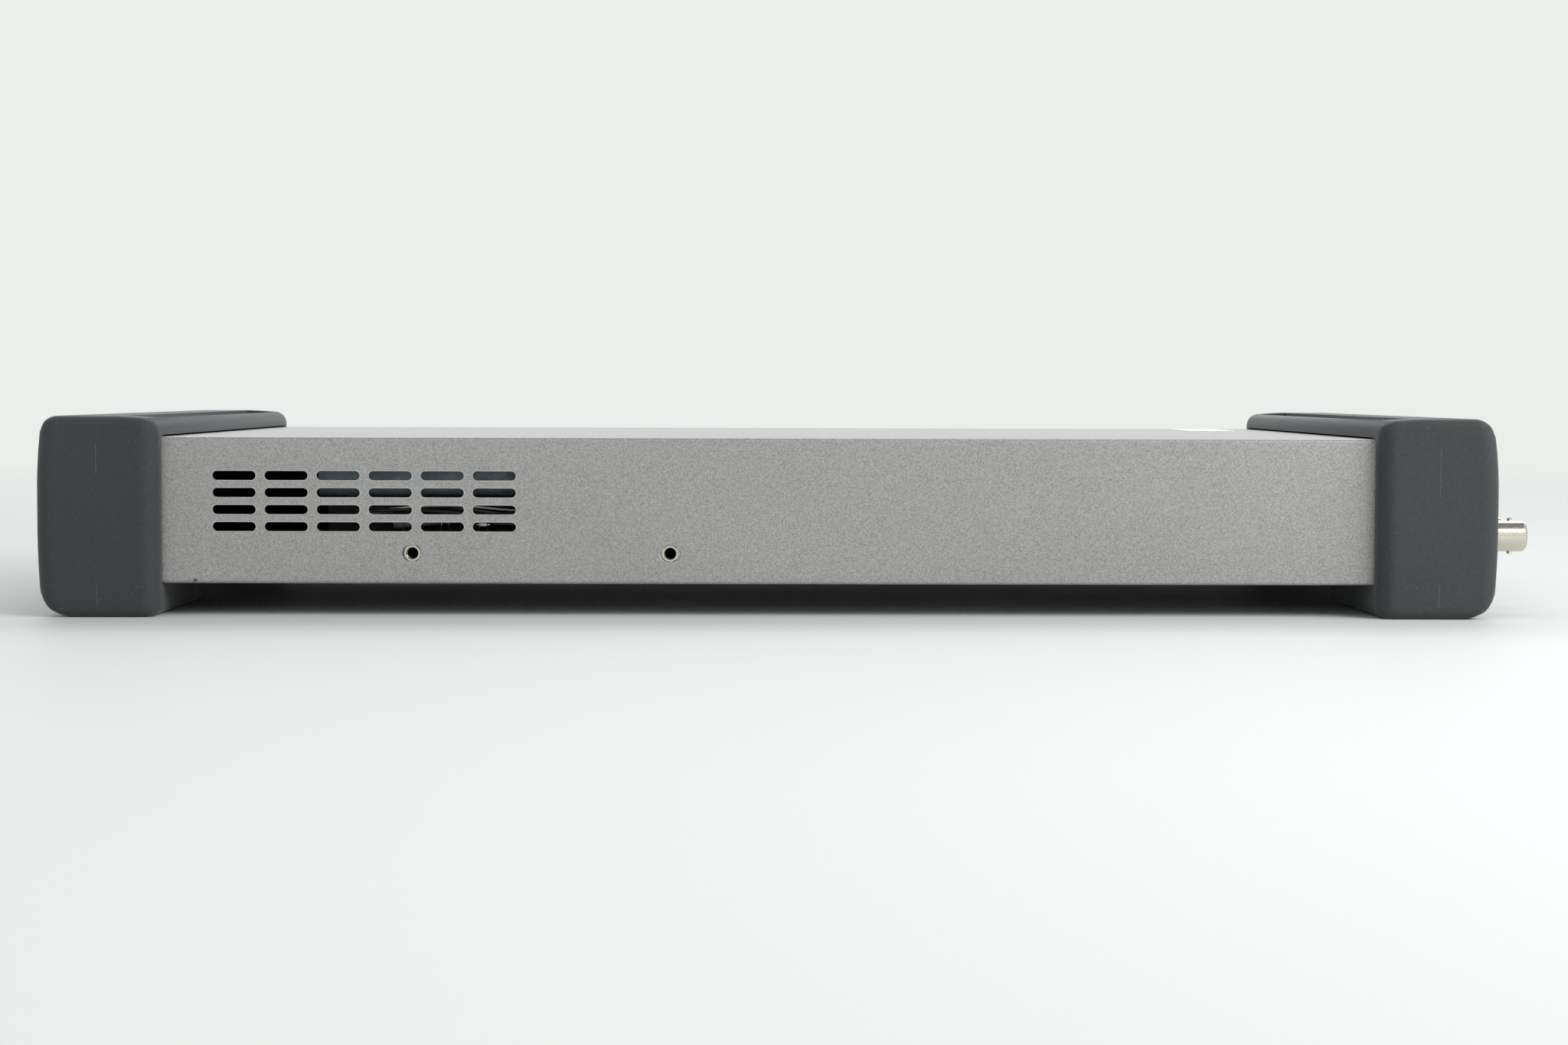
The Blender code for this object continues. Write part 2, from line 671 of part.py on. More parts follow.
def rear_panel():
    panel = slab("rear_panel", [((0.0, 0.0), INNER_WIDTH - 2 * FIT, INNER_HEIGHT - 2 * FIT,
                                 0.0008, 2)],
                 PANEL, (0.0, panel_y(), Z_MID), "-Y", zinc_sheet())
    openings = [((INLET_X, 0.0), INLET_OPENING[0] + 2 * FIT, INLET_OPENING[1] + 2 * FIT,
                 0.0020, 2)]
    for (x, z), (width, height) in ((LAN_CENTRE, LAN_SIZE), (USB_B_CENTRE, USB_B_SIZE)):
        openings.append(((x, z - Z_MID), width + 2 * FIT, height + 2 * FIT, 0.0006, 1))
    for x in REAR_CONNECTOR_X:
        openings.append(((x, 0.0), 0.0128 + 2 * FIT, 0.0128 + 2 * FIT, 0.0064 + FIT, 5))
    slot = 0.0030
    for index in range(-3, 4):
        offset = index * fan_bore() * 0.27
        chord = 2 * math.sqrt(fan_bore() ** 2 - offset ** 2) - 0.0020
        openings.append(((FAN_X + offset, 0.0), slot, chord, slot / 2, 3))
    punch = slab("panel_openings", openings, 0.010, (0.0, panel_y(), Z_MID), "-Y")
    return cut(panel, punch)


def power_inlet():
    """Three-pin appliance inlet: flange outside, shroud through the panel, open to the rear."""
    flange_y = Y_SLEEVE_REAR + FIT
    housing = slab("power_inlet", [((0.0, 0.0), *INLET_FLANGE, 0.0030, 2)], 0.0022,
                   (INLET_X, flange_y + 0.0011, Z_MID), "-Y", black_plastic())
    shroud = slab("inlet_shroud", [((0.0, 0.0), *INLET_OPENING, 0.0020, 2)],
                  INLET_DEPTH + 0.002, (INLET_X, flange_y + 0.002 - INLET_DEPTH / 2 - 0.001, Z_MID),
                  "-Y")
    fuse(housing, shroud)
    cavity_depth = 0.0150
    cavity = slab("inlet_cavity", [((0.0, 0.0), INLET_OPENING[0] - 0.0030,
                                    INLET_OPENING[1] - 0.0032, 0.0030, 2)],
                  2 * cavity_depth, (INLET_X, flange_y + 0.0022, Z_MID), "-Y")
    cut(housing, cavity)
    floor = flange_y + 0.0022 - cavity_depth
    for name, dx, dz in (("line", -0.0070, -0.0020), ("earth", 0.0, 0.0025),
                         ("neutral", 0.0070, -0.0020)):
        pin = block(f"inlet_pin_{name}", (0.0020, 0.0095, 0.0040),
                    (INLET_X + dx, floor + FIT + 0.00475, Z_MID + dz), nickel())
        round_edges(pin, 0.0004, 1)


def fan_bore():
    return FAN_SIZE / 2 - FAN_RIM


def fan():
    """Fan frame with a three-strut motor mount; the rotor turns in front of the mount."""
    frame_y = Y_SLEEVE_REAR - PANEL - FIT - FAN_DEPTH / 2
    frame = block("fan_frame", (FAN_SIZE, FAN_DEPTH, FAN_SIZE), (FAN_X, frame_y, Z_MID),
                  black_plastic())
    bore = rod("fan_bore", fan_bore(), FAN_DEPTH + 0.010, (FAN_X, frame_y, Z_MID), "-Y",
               vertices=32)
    cut(frame, bore)
    mount_y = frame_y - FAN_DEPTH / 2 + 0.0015
    mount = rod("fan_mount", 0.0080, 0.0030, (FAN_X, mount_y, Z_MID), "-Y")
    struts = []
    strut_length = fan_bore() + 0.0010 - 0.0070
    for index in range(3):
        strut = block("fan_strut", (strut_length, 0.0020, 0.0022), (0.0, 0.0, 0.0))
        strut.data.transform(Matrix.Translation((0.0070 + strut_length / 2, 0.0, 0.0)))
        strut.rotation_euler = (0.0, math.radians(90 + 120 * index), 0.0)
        strut.location = (FAN_X, mount_y, Z_MID)
        struts.append(strut)
    fuse(frame, mount, *struts)

    hub_back = mount_y + 0.0015 + FIT
    hub_length = 0.0115
    rotor = rod("fan_rotor", 0.0080, hub_length, (FAN_X, hub_back + hub_length / 2, Z_MID),
                "-Y", black_plastic())
    blade_length = fan_bore() - 0.0013 - 0.0070
    for index in range(5):
        blade = block("fan_blade", (blade_length, 0.0012, 0.0100), (0.0, 0.0, 0.0))
        blade.data.transform(Matrix.Rotation(math.radians(38), 4, "X"))
        blade.data.transform(Matrix.Translation((0.0070 + blade_length / 2, 0.0, 0.0)))
        blade.rotation_euler = (0.0, math.radians(72 * index + 20), 0.0)
        blade.location = (FAN_X, hub_back + hub_length / 2, Z_MID)
        fuse(rotor, blade)


def rear_connectors():
    names = ("trigger_connector", "modulation_connector", "reference_connector")
    for name, x in zip(names, REAR_CONNECTOR_X):
        coaxial(name, x, Z_MID, Y_SLEEVE_REAR, "+Y", 0.0135, insulated=False)
    x, z = LAN_CENTRE
    lan = block("lan_jack", (LAN_SIZE[0], 0.0180, LAN_SIZE[1]), (x, Y_SLEEVE_REAR - 0.0085, z),
                zinc_sheet())
    lan_mouth = block("lan_mouth", (0.0118, 0.0240, 0.0078), (x, Y_SLEEVE_REAR, z + 0.0004))
    cut(lan, lan_mouth)
    x, z = USB_B_CENTRE
    port = block("usb_device_port", (USB_B_SIZE[0], 0.0150, USB_B_SIZE[1]),
                 (x, Y_SLEEVE_REAR - 0.0070, z), nickel())
    mouth = block("usb_b_mouth", (0.0085, 0.0180, 0.0077), (x, Y_SLEEVE_REAR, z))
    post = block("usb_b_post", (0.0055, 0.0080, 0.0030), (x, Y_SLEEVE_REAR - 0.0055, z))
    cut(port, mouth)
    fuse(port, post)
    x, z = STUD_CENTRE
    profile = [(0.0, 0.0075), (0.0018, 0.0075), (0.0020, 0.0070), (0.0020, 0.0030),
               (0.0040, 0.0030), (0.0040, 0.0), (0.0, 0.0)]
    turned("ground_stud", profile, (x, Y_SLEEVE_REAR + FIT, z), "+Y", nickel(), steps=16)


# ---------------------------------------------------------------- inside
def main_board():
    width, length = MAIN_BOARD
    x, y = MAIN_BOARD_CENTRE
    block("main_board", (width, length, BOARD), (x, y, Z_BOARD + BOARD / 2), board_laminate())
    for name, sx, sy in (("front_left", -1, -1), ("front_right", 1, -1), ("rear_left", -1, 1),
                         ("rear_right", 1, 1)):
        rod(f"standoff_{name}", 0.0028, STANDOFF,
            (x + sx * (width / 2 - 0.006), y + sy * (length / 2 - 0.006),
             Z_FLOOR + FIT + STANDOFF / 2), "+Z", nickel(), vertices=6)


def power_supply():
    """Supply parts behind the vents: a folded shield, transformer, capacitors, heat sink."""
    shield_back = Y_REAR - VENT_FIRST_COLUMN - 1.5 * VENT_COLUMN_PITCH
    shield_front = shield_back - 0.0680
    middle = (shield_back + shield_front) / 2
    length = shield_back - shield_front
    left = -INNER_WIDTH / 2 + 0.0110
    right = -0.0320
    top = Z_TOP - 0.0045
    shield = block("supply_shield", (right - left, length, top - Z_FLOOR - FIT),
                   ((left + right) / 2, middle, (top + Z_FLOOR + FIT) / 2), zinc_sheet())
    hollow = block("shield_hollow", (right - left - 0.0024, length + 0.010, 0.0600),
                   ((left + right) / 2, middle, top - 0.0012 - 0.0300))
    open_side = block("shield_side", (0.0100, length + 0.010, 0.0600),
                      (left, middle, Z_TOP - 0.0148 - 0.0300))
    cut(shield, hollow, open_side)

    floor = Z_FLOOR + FIT
    block("supply_transformer", (0.0300, 0.0320, 0.0220), (-0.0560, middle + 0.014, floor + 0.0110),
          copper_winding(), bevel=0.0012, segments=1)
    for index, dy in enumerate((-0.0085, -0.0235)):
        rod(f"supply_capacitor_{index + 1}", 0.0062, 0.0200,
            (-0.0600, middle + dy, floor + 0.0100), "+Z", black_plastic(), vertices=20)
    sink = block("supply_heat_sink", (0.0030, 0.0500, 0.0200), (-0.0830, middle - 0.002,
                                                               floor + 0.0100), aluminium())
    for index in range(6):
        fin = block("heat_sink_fin", (0.0090, 0.0016, 0.0200),
                    (-0.0790, middle - 0.002 + (index - 2.5) * 0.0092, floor + 0.0100))
        fuse(sink, fin)
    front = middle - 0.060
    low = Z_FLOOR + 0.0022
    loom = [(-0.0900, middle + 0.012, Z_FLOOR + 0.0145), (-0.0925, middle - 0.010, Z_FLOOR + 0.0165),
            (-0.0925, middle - 0.030, Z_FLOOR + 0.0150), (-0.0880, front, low),
            (-0.0700, front - 0.060, low), (-0.0500, front - 0.090, low)]
    tube("supply_loom", loom, 0.0016, cable_skin())


def signal_parts():
    x, y = MAIN_BOARD_CENTRE
    top = Z_BOARD + BOARD + FIT
    block("output_stage_can", (0.0500, 0.0620, 0.0120), (x - 0.030, y - 0.090, top + 0.0060),
          zinc_sheet(), bevel=0.0008, segments=1)
    block("processor_chip", (0.0270, 0.0270, 0.0024), (x + 0.020, y - 0.040, top + 0.0012),
          black_plastic())
    ribbon_front = front_board_y() + BOARD / 2 + FIT
    ribbon_back = y - MAIN_BOARD[1] / 2 + 0.020
    block("front_ribbon", (0.0300, ribbon_back - ribbon_front, 0.0012),
          (x, (ribbon_front + ribbon_back) / 2, top + 0.0006), cable_skin())


def build():
    for end, outer_y, inward in (("rear_bumper", Y_REAR, -1), ("front_bumper", Y_FRONT, 1)):
        bumper(end, outer_y, inward)
    cover_sleeve()
    chassis_tray()
    insert_nuts()
    front_bezel()
    keys()
    display()
    front_board()
    knob_and_encoder()
    front_connectors()
    rear_panel()
    power_inlet()
    fan()
    rear_connectors()
    main_board()
    power_supply()
    signal_parts()


clear_scene()
PARTS = new_collection("function generator")
CUTTERS = new_collection("cutters")
build()
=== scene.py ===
"""Visual model of a half-rack function generator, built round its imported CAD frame.

Every piece is modelled in metres, in the frame's own axes: -Y out of the front panel,
+Z up, the floor at z = 0.  Positions come from the CAD nodes' boxes.
"""

from __future__ import annotations

import json
import logging
import math
from dataclasses import dataclass
from enum import Enum
from typing import Callable, Iterable, Sequence

import bmesh
import bpy
from mathutils import Matrix, Vector

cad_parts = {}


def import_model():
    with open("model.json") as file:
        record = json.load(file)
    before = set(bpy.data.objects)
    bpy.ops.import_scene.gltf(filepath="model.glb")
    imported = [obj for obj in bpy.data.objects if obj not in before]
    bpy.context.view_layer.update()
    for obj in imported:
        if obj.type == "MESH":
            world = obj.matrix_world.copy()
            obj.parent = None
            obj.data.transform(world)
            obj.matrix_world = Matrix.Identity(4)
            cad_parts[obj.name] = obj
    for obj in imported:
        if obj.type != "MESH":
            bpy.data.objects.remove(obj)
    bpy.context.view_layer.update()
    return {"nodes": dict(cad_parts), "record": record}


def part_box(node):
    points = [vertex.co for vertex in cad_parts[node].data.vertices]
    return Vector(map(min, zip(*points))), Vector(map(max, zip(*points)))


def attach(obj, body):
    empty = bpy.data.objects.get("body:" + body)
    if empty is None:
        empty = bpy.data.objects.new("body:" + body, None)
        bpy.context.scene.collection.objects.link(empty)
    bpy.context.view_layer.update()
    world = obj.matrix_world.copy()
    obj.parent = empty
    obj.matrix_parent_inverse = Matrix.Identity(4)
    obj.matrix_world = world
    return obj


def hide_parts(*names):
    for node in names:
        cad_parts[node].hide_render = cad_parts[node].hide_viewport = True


LOG = logging.getLogger("function_generator")
MM = 0.001
ROOT_BODY = "instrument"
Point = tuple[float, float]


# ------------------------------------------------------------------ small helpers
def linear(colour: str) -> tuple[float, float, float, float]:
    """Turn an sRGB hex colour into linear RGBA.

    Args:
        colour: Six hex digits, with or without a leading hash.

    Returns:
        Linear red, green, blue and an alpha of one.
    """
    digits = colour.lstrip("#")
    channels = [int(digits[i:i + 2], 16) / 255 for i in (0, 2, 4)]
    values = [c / 12.92 if c <= 0.04045 else ((c + 0.055) / 1.055) ** 2.4 for c in channels]
    return (values[0], values[1], values[2], 1.0)


def frequency(size_mm: float) -> float:
    """Texture scale whose pattern repeats about every size_mm millimetres."""
    return 1000.0 / size_mm


class Facing(Enum):
    """Directions a panel or connector looks; local X is its right, local Z its outward axis."""

    FRONT = ((1, 0, 0), (0, 0, 1), (0, -1, 0))
    REAR = ((-1, 0, 0), (0, 0, 1), (0, 1, 0))
    LEFT = ((0, -1, 0), (0, 0, 1), (-1, 0, 0))
    RIGHT = ((0, 1, 0), (0, 0, 1), (1, 0, 0))
    UP = ((1, 0, 0), (0, 1, 0), (0, 0, 1))

    def at(self, x: float, y: float, z: float) -> Matrix:
        """Matrix from this facing's local frame, its origin at a point, to the row frame."""
        turn = Matrix(self.value).transposed().to_4x4()
        return Matrix.Translation((x, y, z)) @ turn


@dataclass(frozen=True)
class Box:
    """A CAD node's box at rest."""

    low: Vector
    high: Vector

    @classmethod
    def of(cls, node: str) -> "Box":
        """Read a node's box from the frame."""
        low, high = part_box(node)
        return cls(Vector(low), Vector(high))

    @property
    def centre(self) -> Vector:
        """Middle of the box."""
        return (self.low + self.high) / 2

    @property
    def size(self) -> Vector:
        """Edge lengths of the box."""
        return self.high - self.low


# ------------------------------------------------------------------ outlines
def rounded_outline(width: float, height: float, radius: float, arc: int = 6) -> list[Point]:
    """Closed outline of a rectangle with round corners, counter-clockwise.

    Args:
        width: Size along local X.
        height: Size along local Y.
        radius: Corner radius; half the shorter side gives an obround.
        arc: Segments per quarter circle.

    Returns:
        Points without a repeated end point.
    """
    points: list[Point] = []
    for quarter, (sx, sy) in enumerate(((1, 1), (-1, 1), (-1, -1), (1, -1))):
        cx, cy = sx * (width / 2 - radius), sy * (height / 2 - radius)
        for step in range(arc + 1):
            angle = math.radians(90) * (quarter + step / arc)
            point = (cx + radius * math.cos(angle), cy + radius * math.sin(angle))
            if not points or math.dist(point, points[-1]) > 1e-7:
                points.append(point)
    if math.dist(points[0], points[-1]) < 1e-7:
        points.pop()
    return points


def shrunk(outline: Sequence[Point], inset: float) -> list[Point]:
    """Move each point of a counter-clockwise outline inwards, square to its neighbours' line."""
    moved = []
    for (x, y), before, after in zip(outline, [outline[-1], *outline[:-1]],
                                     [*outline[1:], outline[0]]):
        along = Vector((after[0] - before[0], after[1] - before[1])).normalized()
        moved.append((x - along.y * inset, y + along.x * inset))
    return moved


def ribbon_outline(line: Sequence[Point], width: float) -> list[Point]:
    """Outline of a strip of even width along an open line."""
    sides: tuple[list[Point], list[Point]] = ([], [])
    for index, (x, y) in enumerate(line):
        before, after = line[max(index - 1, 0)], line[min(index + 1, len(line) - 1)]
        along = Vector((after[0] - before[0], after[1] - before[1])).normalized() * width / 2
        sides[0].append((x + along.y, y - along.x))
        sides[1].append((x - along.y, y + along.x))
    return sides[0] + sides[1][::-1]


def circle_outline(radius: float, sides: int = 32) -> list[Point]:
    """Closed circle, counter-clockwise."""
    turns = [math.tau * index / sides for index in range(sides)]
    return [(radius * math.cos(angle), radius * math.sin(angle)) for angle in turns]


# ------------------------------------------------------------------ mesh building
class Form:
    """A mesh being shaped in a local frame, then placed in the row frame."""

    def __init__(self, placement: Matrix | None = None) -> None:
        """Start empty.

        Args:
            placement: Matrix from the local frame to the row frame.
        """
        self.bm = bmesh.new()
        self.placement = placement or Matrix.Identity(4)

    def box(self, size: Sequence[float], centre: Sequence[float] = (0, 0, 0), edge: float = 0.0,
            segments: int = 2) -> "Form":
        """Add a box with rounded edges."""
        place = Matrix.Translation(centre) @ Matrix.Diagonal((*size, 1.0))
        made = bmesh.ops.create_cube(self.bm, size=1.0, matrix=place)
        if edge > 0:
            edges = list({e for vert in made["verts"] for e in vert.link_edges})
            bmesh.ops.bevel(self.bm, geom=edges, offset=edge, segments=segments, affect="EDGES",
                            profile=0.5, material=-1, clamp_overlap=True)
        return self

    def loft(self, loops: Sequence[Sequence[Vector]]) -> "Form":
        """Skin a row of loops with equal counts and close both ends."""
        rings = []
        for loop in loops:
            verts = [self.bm.verts.new(point) for point in loop]
            rings.append([self.bm.edges.new((a, b)) for a, b in
                          zip(verts, verts[1:] + verts[:1])])
        for first, second in zip(rings, rings[1:]):
            bmesh.ops.bridge_loops(self.bm, edges=first + second)
        for ring in (rings[0], rings[-1]):
            bmesh.ops.contextual_create(self.bm, geom=ring)
        return self

    def prism(self, outline: Sequence[Point], low: float, high: float,
              centre: Point = (0.0, 0.0), edge: float = 0.0, steps: int = 3) -> "Form":
        """Extrude an outline from low to high along local Z, its top edge rounded inwards.

        Args:
            outline: Closed outline about the origin.
            low: Start height.
            high: End height.
            centre: Where the outline's origin goes.
            edge: Radius of the rounding on the top edge.
            steps: Segments of that rounding.
        """
        levels = [(low, 0.0)]
        if edge > 0:
            for step in range(steps + 1):
                angle = math.radians(90) * step / steps
                levels.append((high - edge * (1 - math.sin(angle)), edge * (1 - math.cos(angle))))
        else:
            levels.append((high, 0.0))
        return self.loft([[Vector((centre[0] + x, centre[1] + y, height))
                           for x, y in shrunk(outline, inset)] for height, inset in levels])

    def slice(self, point: Sequence[float], normal: Sequence[float]) -> "Form":
        """Add an edge ring where a plane meets the form."""
        geometry = self.bm.verts[:] + self.bm.edges[:] + self.bm.faces[:]
        bmesh.ops.bisect_plane(self.bm, geom=geometry, dist=1e-6, plane_co=point, plane_no=normal)
        return self

    def lathe(self, profile: Sequence[Point], steps: int = 48, closed: bool = False) -> "Form":
        """Spin a (radius, height) profile a full turn about local Z."""
        verts = [self.bm.verts.new((radius, 0.0, height)) for radius, height in profile]
        pairs = list(zip(verts, verts[1:]))
        if closed:
            pairs.append((verts[-1], verts[0]))
        edges = [self.bm.edges.new(pair) for pair in pairs]
        bmesh.ops.spin(self.bm, geom=verts + edges, cent=(0, 0, 0), axis=(0, 0, 1),
                       angle=math.tau, steps=steps, use_merge=True)
        bmesh.ops.remove_doubles(self.bm, verts=self.bm.verts, dist=1e-7)
        return self

    def tube(self, points: Sequence[Vector], radius: float, sides: int = 10) -> "Form":
        """Sweep a circle along a smooth line through a few points."""
        line = smooth_line(points)
        loops = []
        side = Vector((0, 0, 1))
        for index, point in enumerate(line):
            ahead = line[min(index + 1, len(line) - 1)] - line[max(index - 1, 0)]
            ahead.normalize()
            side = (side - ahead * side.dot(ahead)).normalized()
            other = ahead.cross(side)
            loops.append([point + radius * (side * math.cos(math.tau * k / sides)
                                            + other * math.sin(math.tau * k / sides))
                          for k in range(sides)])
        return self.loft(loops)

    def add(self, other: "Form", matrix: Matrix | None = None) -> "Form":
        """Take in another form's mesh, which keeps its own local frame."""
        mesh = bpy.data.meshes.new("taken")
        if matrix is not None:
            other.bm.transform(matrix)
        other.bm.to_mesh(mesh)
        self.bm.from_mesh(mesh)
        bpy.data.meshes.remove(mesh)
        other.bm.free()
        return self

    def cut(self, other: "Form") -> "Form":
        """Cut another form in the same local frame out of this one, by an exact Boolean.

        Args:
            other: The form to take away; it is used up.

        Returns:
            This form.
        """
        for form in (self, other):
            bmesh.ops.recalc_face_normals(form.bm, faces=form.bm.faces)
        objects = []
        for label, form in (("kept", self), ("tool", other)):
            mesh = bpy.data.meshes.new(label)
            form.bm.to_mesh(mesh)
            obj = bpy.data.objects.new(label, mesh)
            bpy.context.scene.collection.objects.link(obj)
            objects.append(obj)
        kept, tool = objects
        modifier = kept.modifiers.new("Boolean", "BOOLEAN")
        modifier.operation = "DIFFERENCE"
        modifier.solver = "EXACT"
        modifier.object = tool
        bpy.context.view_layer.update()
        result = bpy.data.meshes.new_from_object(
            kept.evaluated_get(bpy.context.evaluated_depsgraph_get()))
        self.bm.free()
        other.bm.free()
        self.bm = bmesh.new()
        self.bm.from_mesh(result)
        for obj in objects:
            mesh = obj.data
            bpy.data.objects.remove(obj, do_unlink=True)
            bpy.data.meshes.remove(mesh)
        bpy.data.meshes.remove(result)
        return self

    def emit(self, name: str, finish: "Finish", body: str = ROOT_BODY,
             replaces: Sequence[str] = (), smooth: float = 32.0) -> bpy.types.Object:
        """Write the form out as a piece that rides on a body.

        Args:
            name: Piece name.
            finish: Surface finish and material slot.
            body: CAD body that carries the piece.
            replaces: CAD nodes the piece stands for.
            smooth: Edges sharper than this, in degrees, stay crisp.

        Returns:
            The new object, at the origin with its place in its mesh.
        """
        bmesh.ops.recalc_face_normals(self.bm, faces=self.bm.faces)
        self.bm.transform(self.placement)
        if self.placement.determinant() < 0:
            bmesh.ops.reverse_faces(self.bm, faces=self.bm.faces)
        mesh = bpy.data.meshes.new(name)
        self.bm.to_mesh(mesh)
        self.bm.free()
        mesh.shade_smooth()
        mesh.set_sharp_from_angle(angle=math.radians(smooth))
        mesh.materials.append(finish.material())
        obj = bpy.data.objects.new(name, mesh)
        bpy.context.scene.collection.objects.link(obj)
        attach(obj, body)
        if replaces:
            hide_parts(*replaces)
        LOG.info("%s: %d faces, %s, on %s", name, len(mesh.polygons), finish.name, body)
        return obj


def smooth_line(points: Sequence[Vector], steps: int = 8) -> list[Vector]:
    """Catmull-Rom line through the points."""
    ends = [points[0] * 2 - points[1], *points, points[-1] * 2 - points[-2]]
    line = []
    for p0, p1, p2, p3 in zip(ends, ends[1:], ends[2:], ends[3:]):
        for step in range(steps):
            t = step / steps
            line.append(0.5 * ((2 * p1) + (p2 - p0) * t + (2 * p0 - 5 * p1 + 4 * p2 - p3) * t ** 2
                               + (3 * p1 - p0 - 3 * p2 + p3) * t ** 3))
    line.append(points[-1].copy())
    return line


# ------------------------------------------------------------------ finishes
class Graph:
    """A material's node tree with one Principled shader."""

    def __init__(self, name: str) -> None:
        """Make the material and find its shader."""
        self.material = bpy.data.materials.new(name)
        self.material.use_nodes = True
        self.nodes = self.material.node_tree.nodes
        self.links = self.material.node_tree.links
        self.shader = self.nodes["Principled BSDF"]
        self.place = self.add("ShaderNodeTexCoord").outputs["Object"]

    def add(self, kind: str, inputs: dict | None = None, **settings: object) -> bpy.types.Node:
        """Add a node, set its properties, and set or link its inputs."""
        node = self.nodes.new(kind)
        for key, value in settings.items():
            setattr(node, key, value)
        for key, value in (inputs or {}).items():
            if isinstance(value, bpy.types.NodeSocket):
                self.links.new(value, node.inputs[key])
            else:
                node.inputs[key].default_value = value
        return node

    def set(self, name: str, value: object) -> None:
        """Set or link one input of the shader."""
        if isinstance(value, bpy.types.NodeSocket):
            self.links.new(value, self.shader.inputs[name])
        else:
            self.shader.inputs[name].default_value = value


# Size in millimetres of the slow change of tone across a part.
DRIFT_SIZE = 45.0


@dataclass(frozen=True)
class Finish:
    """A surface finish.  Sizes are millimetres on the real part.

    Attributes:
        name: The real material.
        slot: The record's material slot.
        base: Main colour.
        shade: Colour the fine mottling drifts to.
        roughness: Mean roughness.
        spread: How far the roughness strays either way.
        metallic: Nought for paint and plastics, one for bare metal.
        grain: Size of the fine mottling.
        drift: Strength of slow tone change over tens of millimetres.
        relief: Height of the bump.
        relief_size: Size of the bump's features.
        extra: Function that adds what only this finish has.
    """

    name: str
    slot: str
    base: str
    shade: str
    roughness: float = 0.5
    spread: float = 0.05
    metallic: float = 0.0
    grain: float = 0.6
    drift: float = 0.04
    relief: float = 0.01
    relief_size: float = 0.4
    extra: Callable[[Graph, object], object] | None = None

    def material(self) -> bpy.types.Material:
        """The finish's material, made once."""
        known = bpy.data.materials.get(self.name)
        if known is not None:
            return known
        graph = Graph(self.name)
        levels = []
        for size_mm, detail, low, high, start, end in (
                (self.grain, 3.0, 0.32, 0.68, 0.0, 1.0),
                (DRIFT_SIZE, 1.0, 0.3, 0.7, 1.0 - self.drift, 1.0 + self.drift),
                (self.grain * 3, 2.0, 0.3, 0.7, self.roughness - self.spread,
                 self.roughness + self.spread)):
            noise = graph.add("ShaderNodeTexNoise", {"Vector": graph.place, "Detail": detail,
                                                     "Scale": frequency(size_mm)})
            levels.append(graph.add("ShaderNodeMapRange", {0: noise.outputs["Fac"], 1: low, 2: high,
                                                           3: start, 4: end}).outputs[0])
        fine, slow, rough = levels
        mottled = graph.add("ShaderNodeMix", {0: fine, 6: linear(self.base), 7: linear(self.shade)},
                            data_type="RGBA", blend_type="MIX")
        grey = graph.add("ShaderNodeCombineColor", {0: slow, 1: slow, 2: slow})
        colour = graph.add("ShaderNodeMix", {0: 1.0, 6: mottled.outputs[2], 7: grey.outputs[0]},
                           data_type="RGBA", blend_type="MULTIPLY").outputs[2]
        if self.extra is not None:
            colour = self.extra(graph, colour)
        graph.set("Base Color", colour)
        graph.set("Metallic", self.metallic)
        graph.set("Roughness", rough)
        relief = graph.add("ShaderNodeTexNoise", {"Vector": graph.place, "Detail": 2.0,
                                                  "Scale": frequency(self.relief_size)})
        bump = graph.add("ShaderNodeBump", {"Height": relief.outputs["Fac"],
                                            "Distance": self.relief * MM, "Strength": 1.0})
        graph.set("Normal", bump.outputs[0])
        return graph.material


def dust(graph: Graph, colour: object) -> object:
    """Rubber: sparse pale dust specks caught in the matte skin, a soft sheen at grazing angles.

    Args:
        graph: The material's node tree.
        colour: Colour so far.

    Returns:
        Colour with specks up to about 0.2 mm across; about one cell in four has none.
    """
    spacing_mm, widest, cut = 3.4, 0.045, 0.012
    cells = graph.add("ShaderNodeTexVoronoi", {"Vector": graph.place, "Scale": frequency(spacing_mm),
                                               "Randomness": 1.0})
    chance = graph.add("ShaderNodeSeparateColor", {0: cells.outputs["Color"]})
    size = graph.add("ShaderNodeMath", {0: chance.outputs[0], 1: widest}, operation="MULTIPLY")
    radius = graph.add("ShaderNodeMath", {0: size.outputs[0], 1: cut}, operation="SUBTRACT")
    speck = graph.add("ShaderNodeMath", {0: cells.outputs["Distance"], 1: radius.outputs[0]},
                      operation="LESS_THAN")
    graph.set("Sheen Weight", 0.20)
    graph.set("Sheen Roughness", 0.4)
    graph.set("Specular IOR Level", 0.35)
    return graph.add("ShaderNodeMix", {0: speck.outputs[0], 6: colour, 7: linear("#8d9092")},
                     data_type="RGBA", blend_type="MIX").outputs[2]


def speckle(graph: Graph, colour: object, size_mm: float, contrast: float) -> object:
    """Make each cell of a fine pattern a little lighter or darker.

    Args:
        graph: The material's node tree.
        colour: Colour so far.
        size_mm: Size of a cell.
        contrast: How far a cell's brightness strays either way.

    Returns:
        Colour with the cells.
    """
    cells = graph.add("ShaderNodeTexVoronoi", {"Vector": graph.place, "Scale": frequency(size_mm)})
    value = graph.add("ShaderNodeSeparateColor", {0: cells.outputs["Color"]})
    bright = graph.add("ShaderNodeMapRange", {0: value.outputs[0], 1: 0.0, 2: 1.0,
                                              3: 1.0 - contrast, 4: 1.0 + contrast}).outputs[0]
    tint = graph.add("ShaderNodeCombineColor", {0: bright, 1: bright, 2: bright}).outputs[0]
    return graph.add("ShaderNodeMix", {0: 1.0, 6: colour, 7: tint}, data_type="RGBA",
                     blend_type="MULTIPLY").outputs[2]


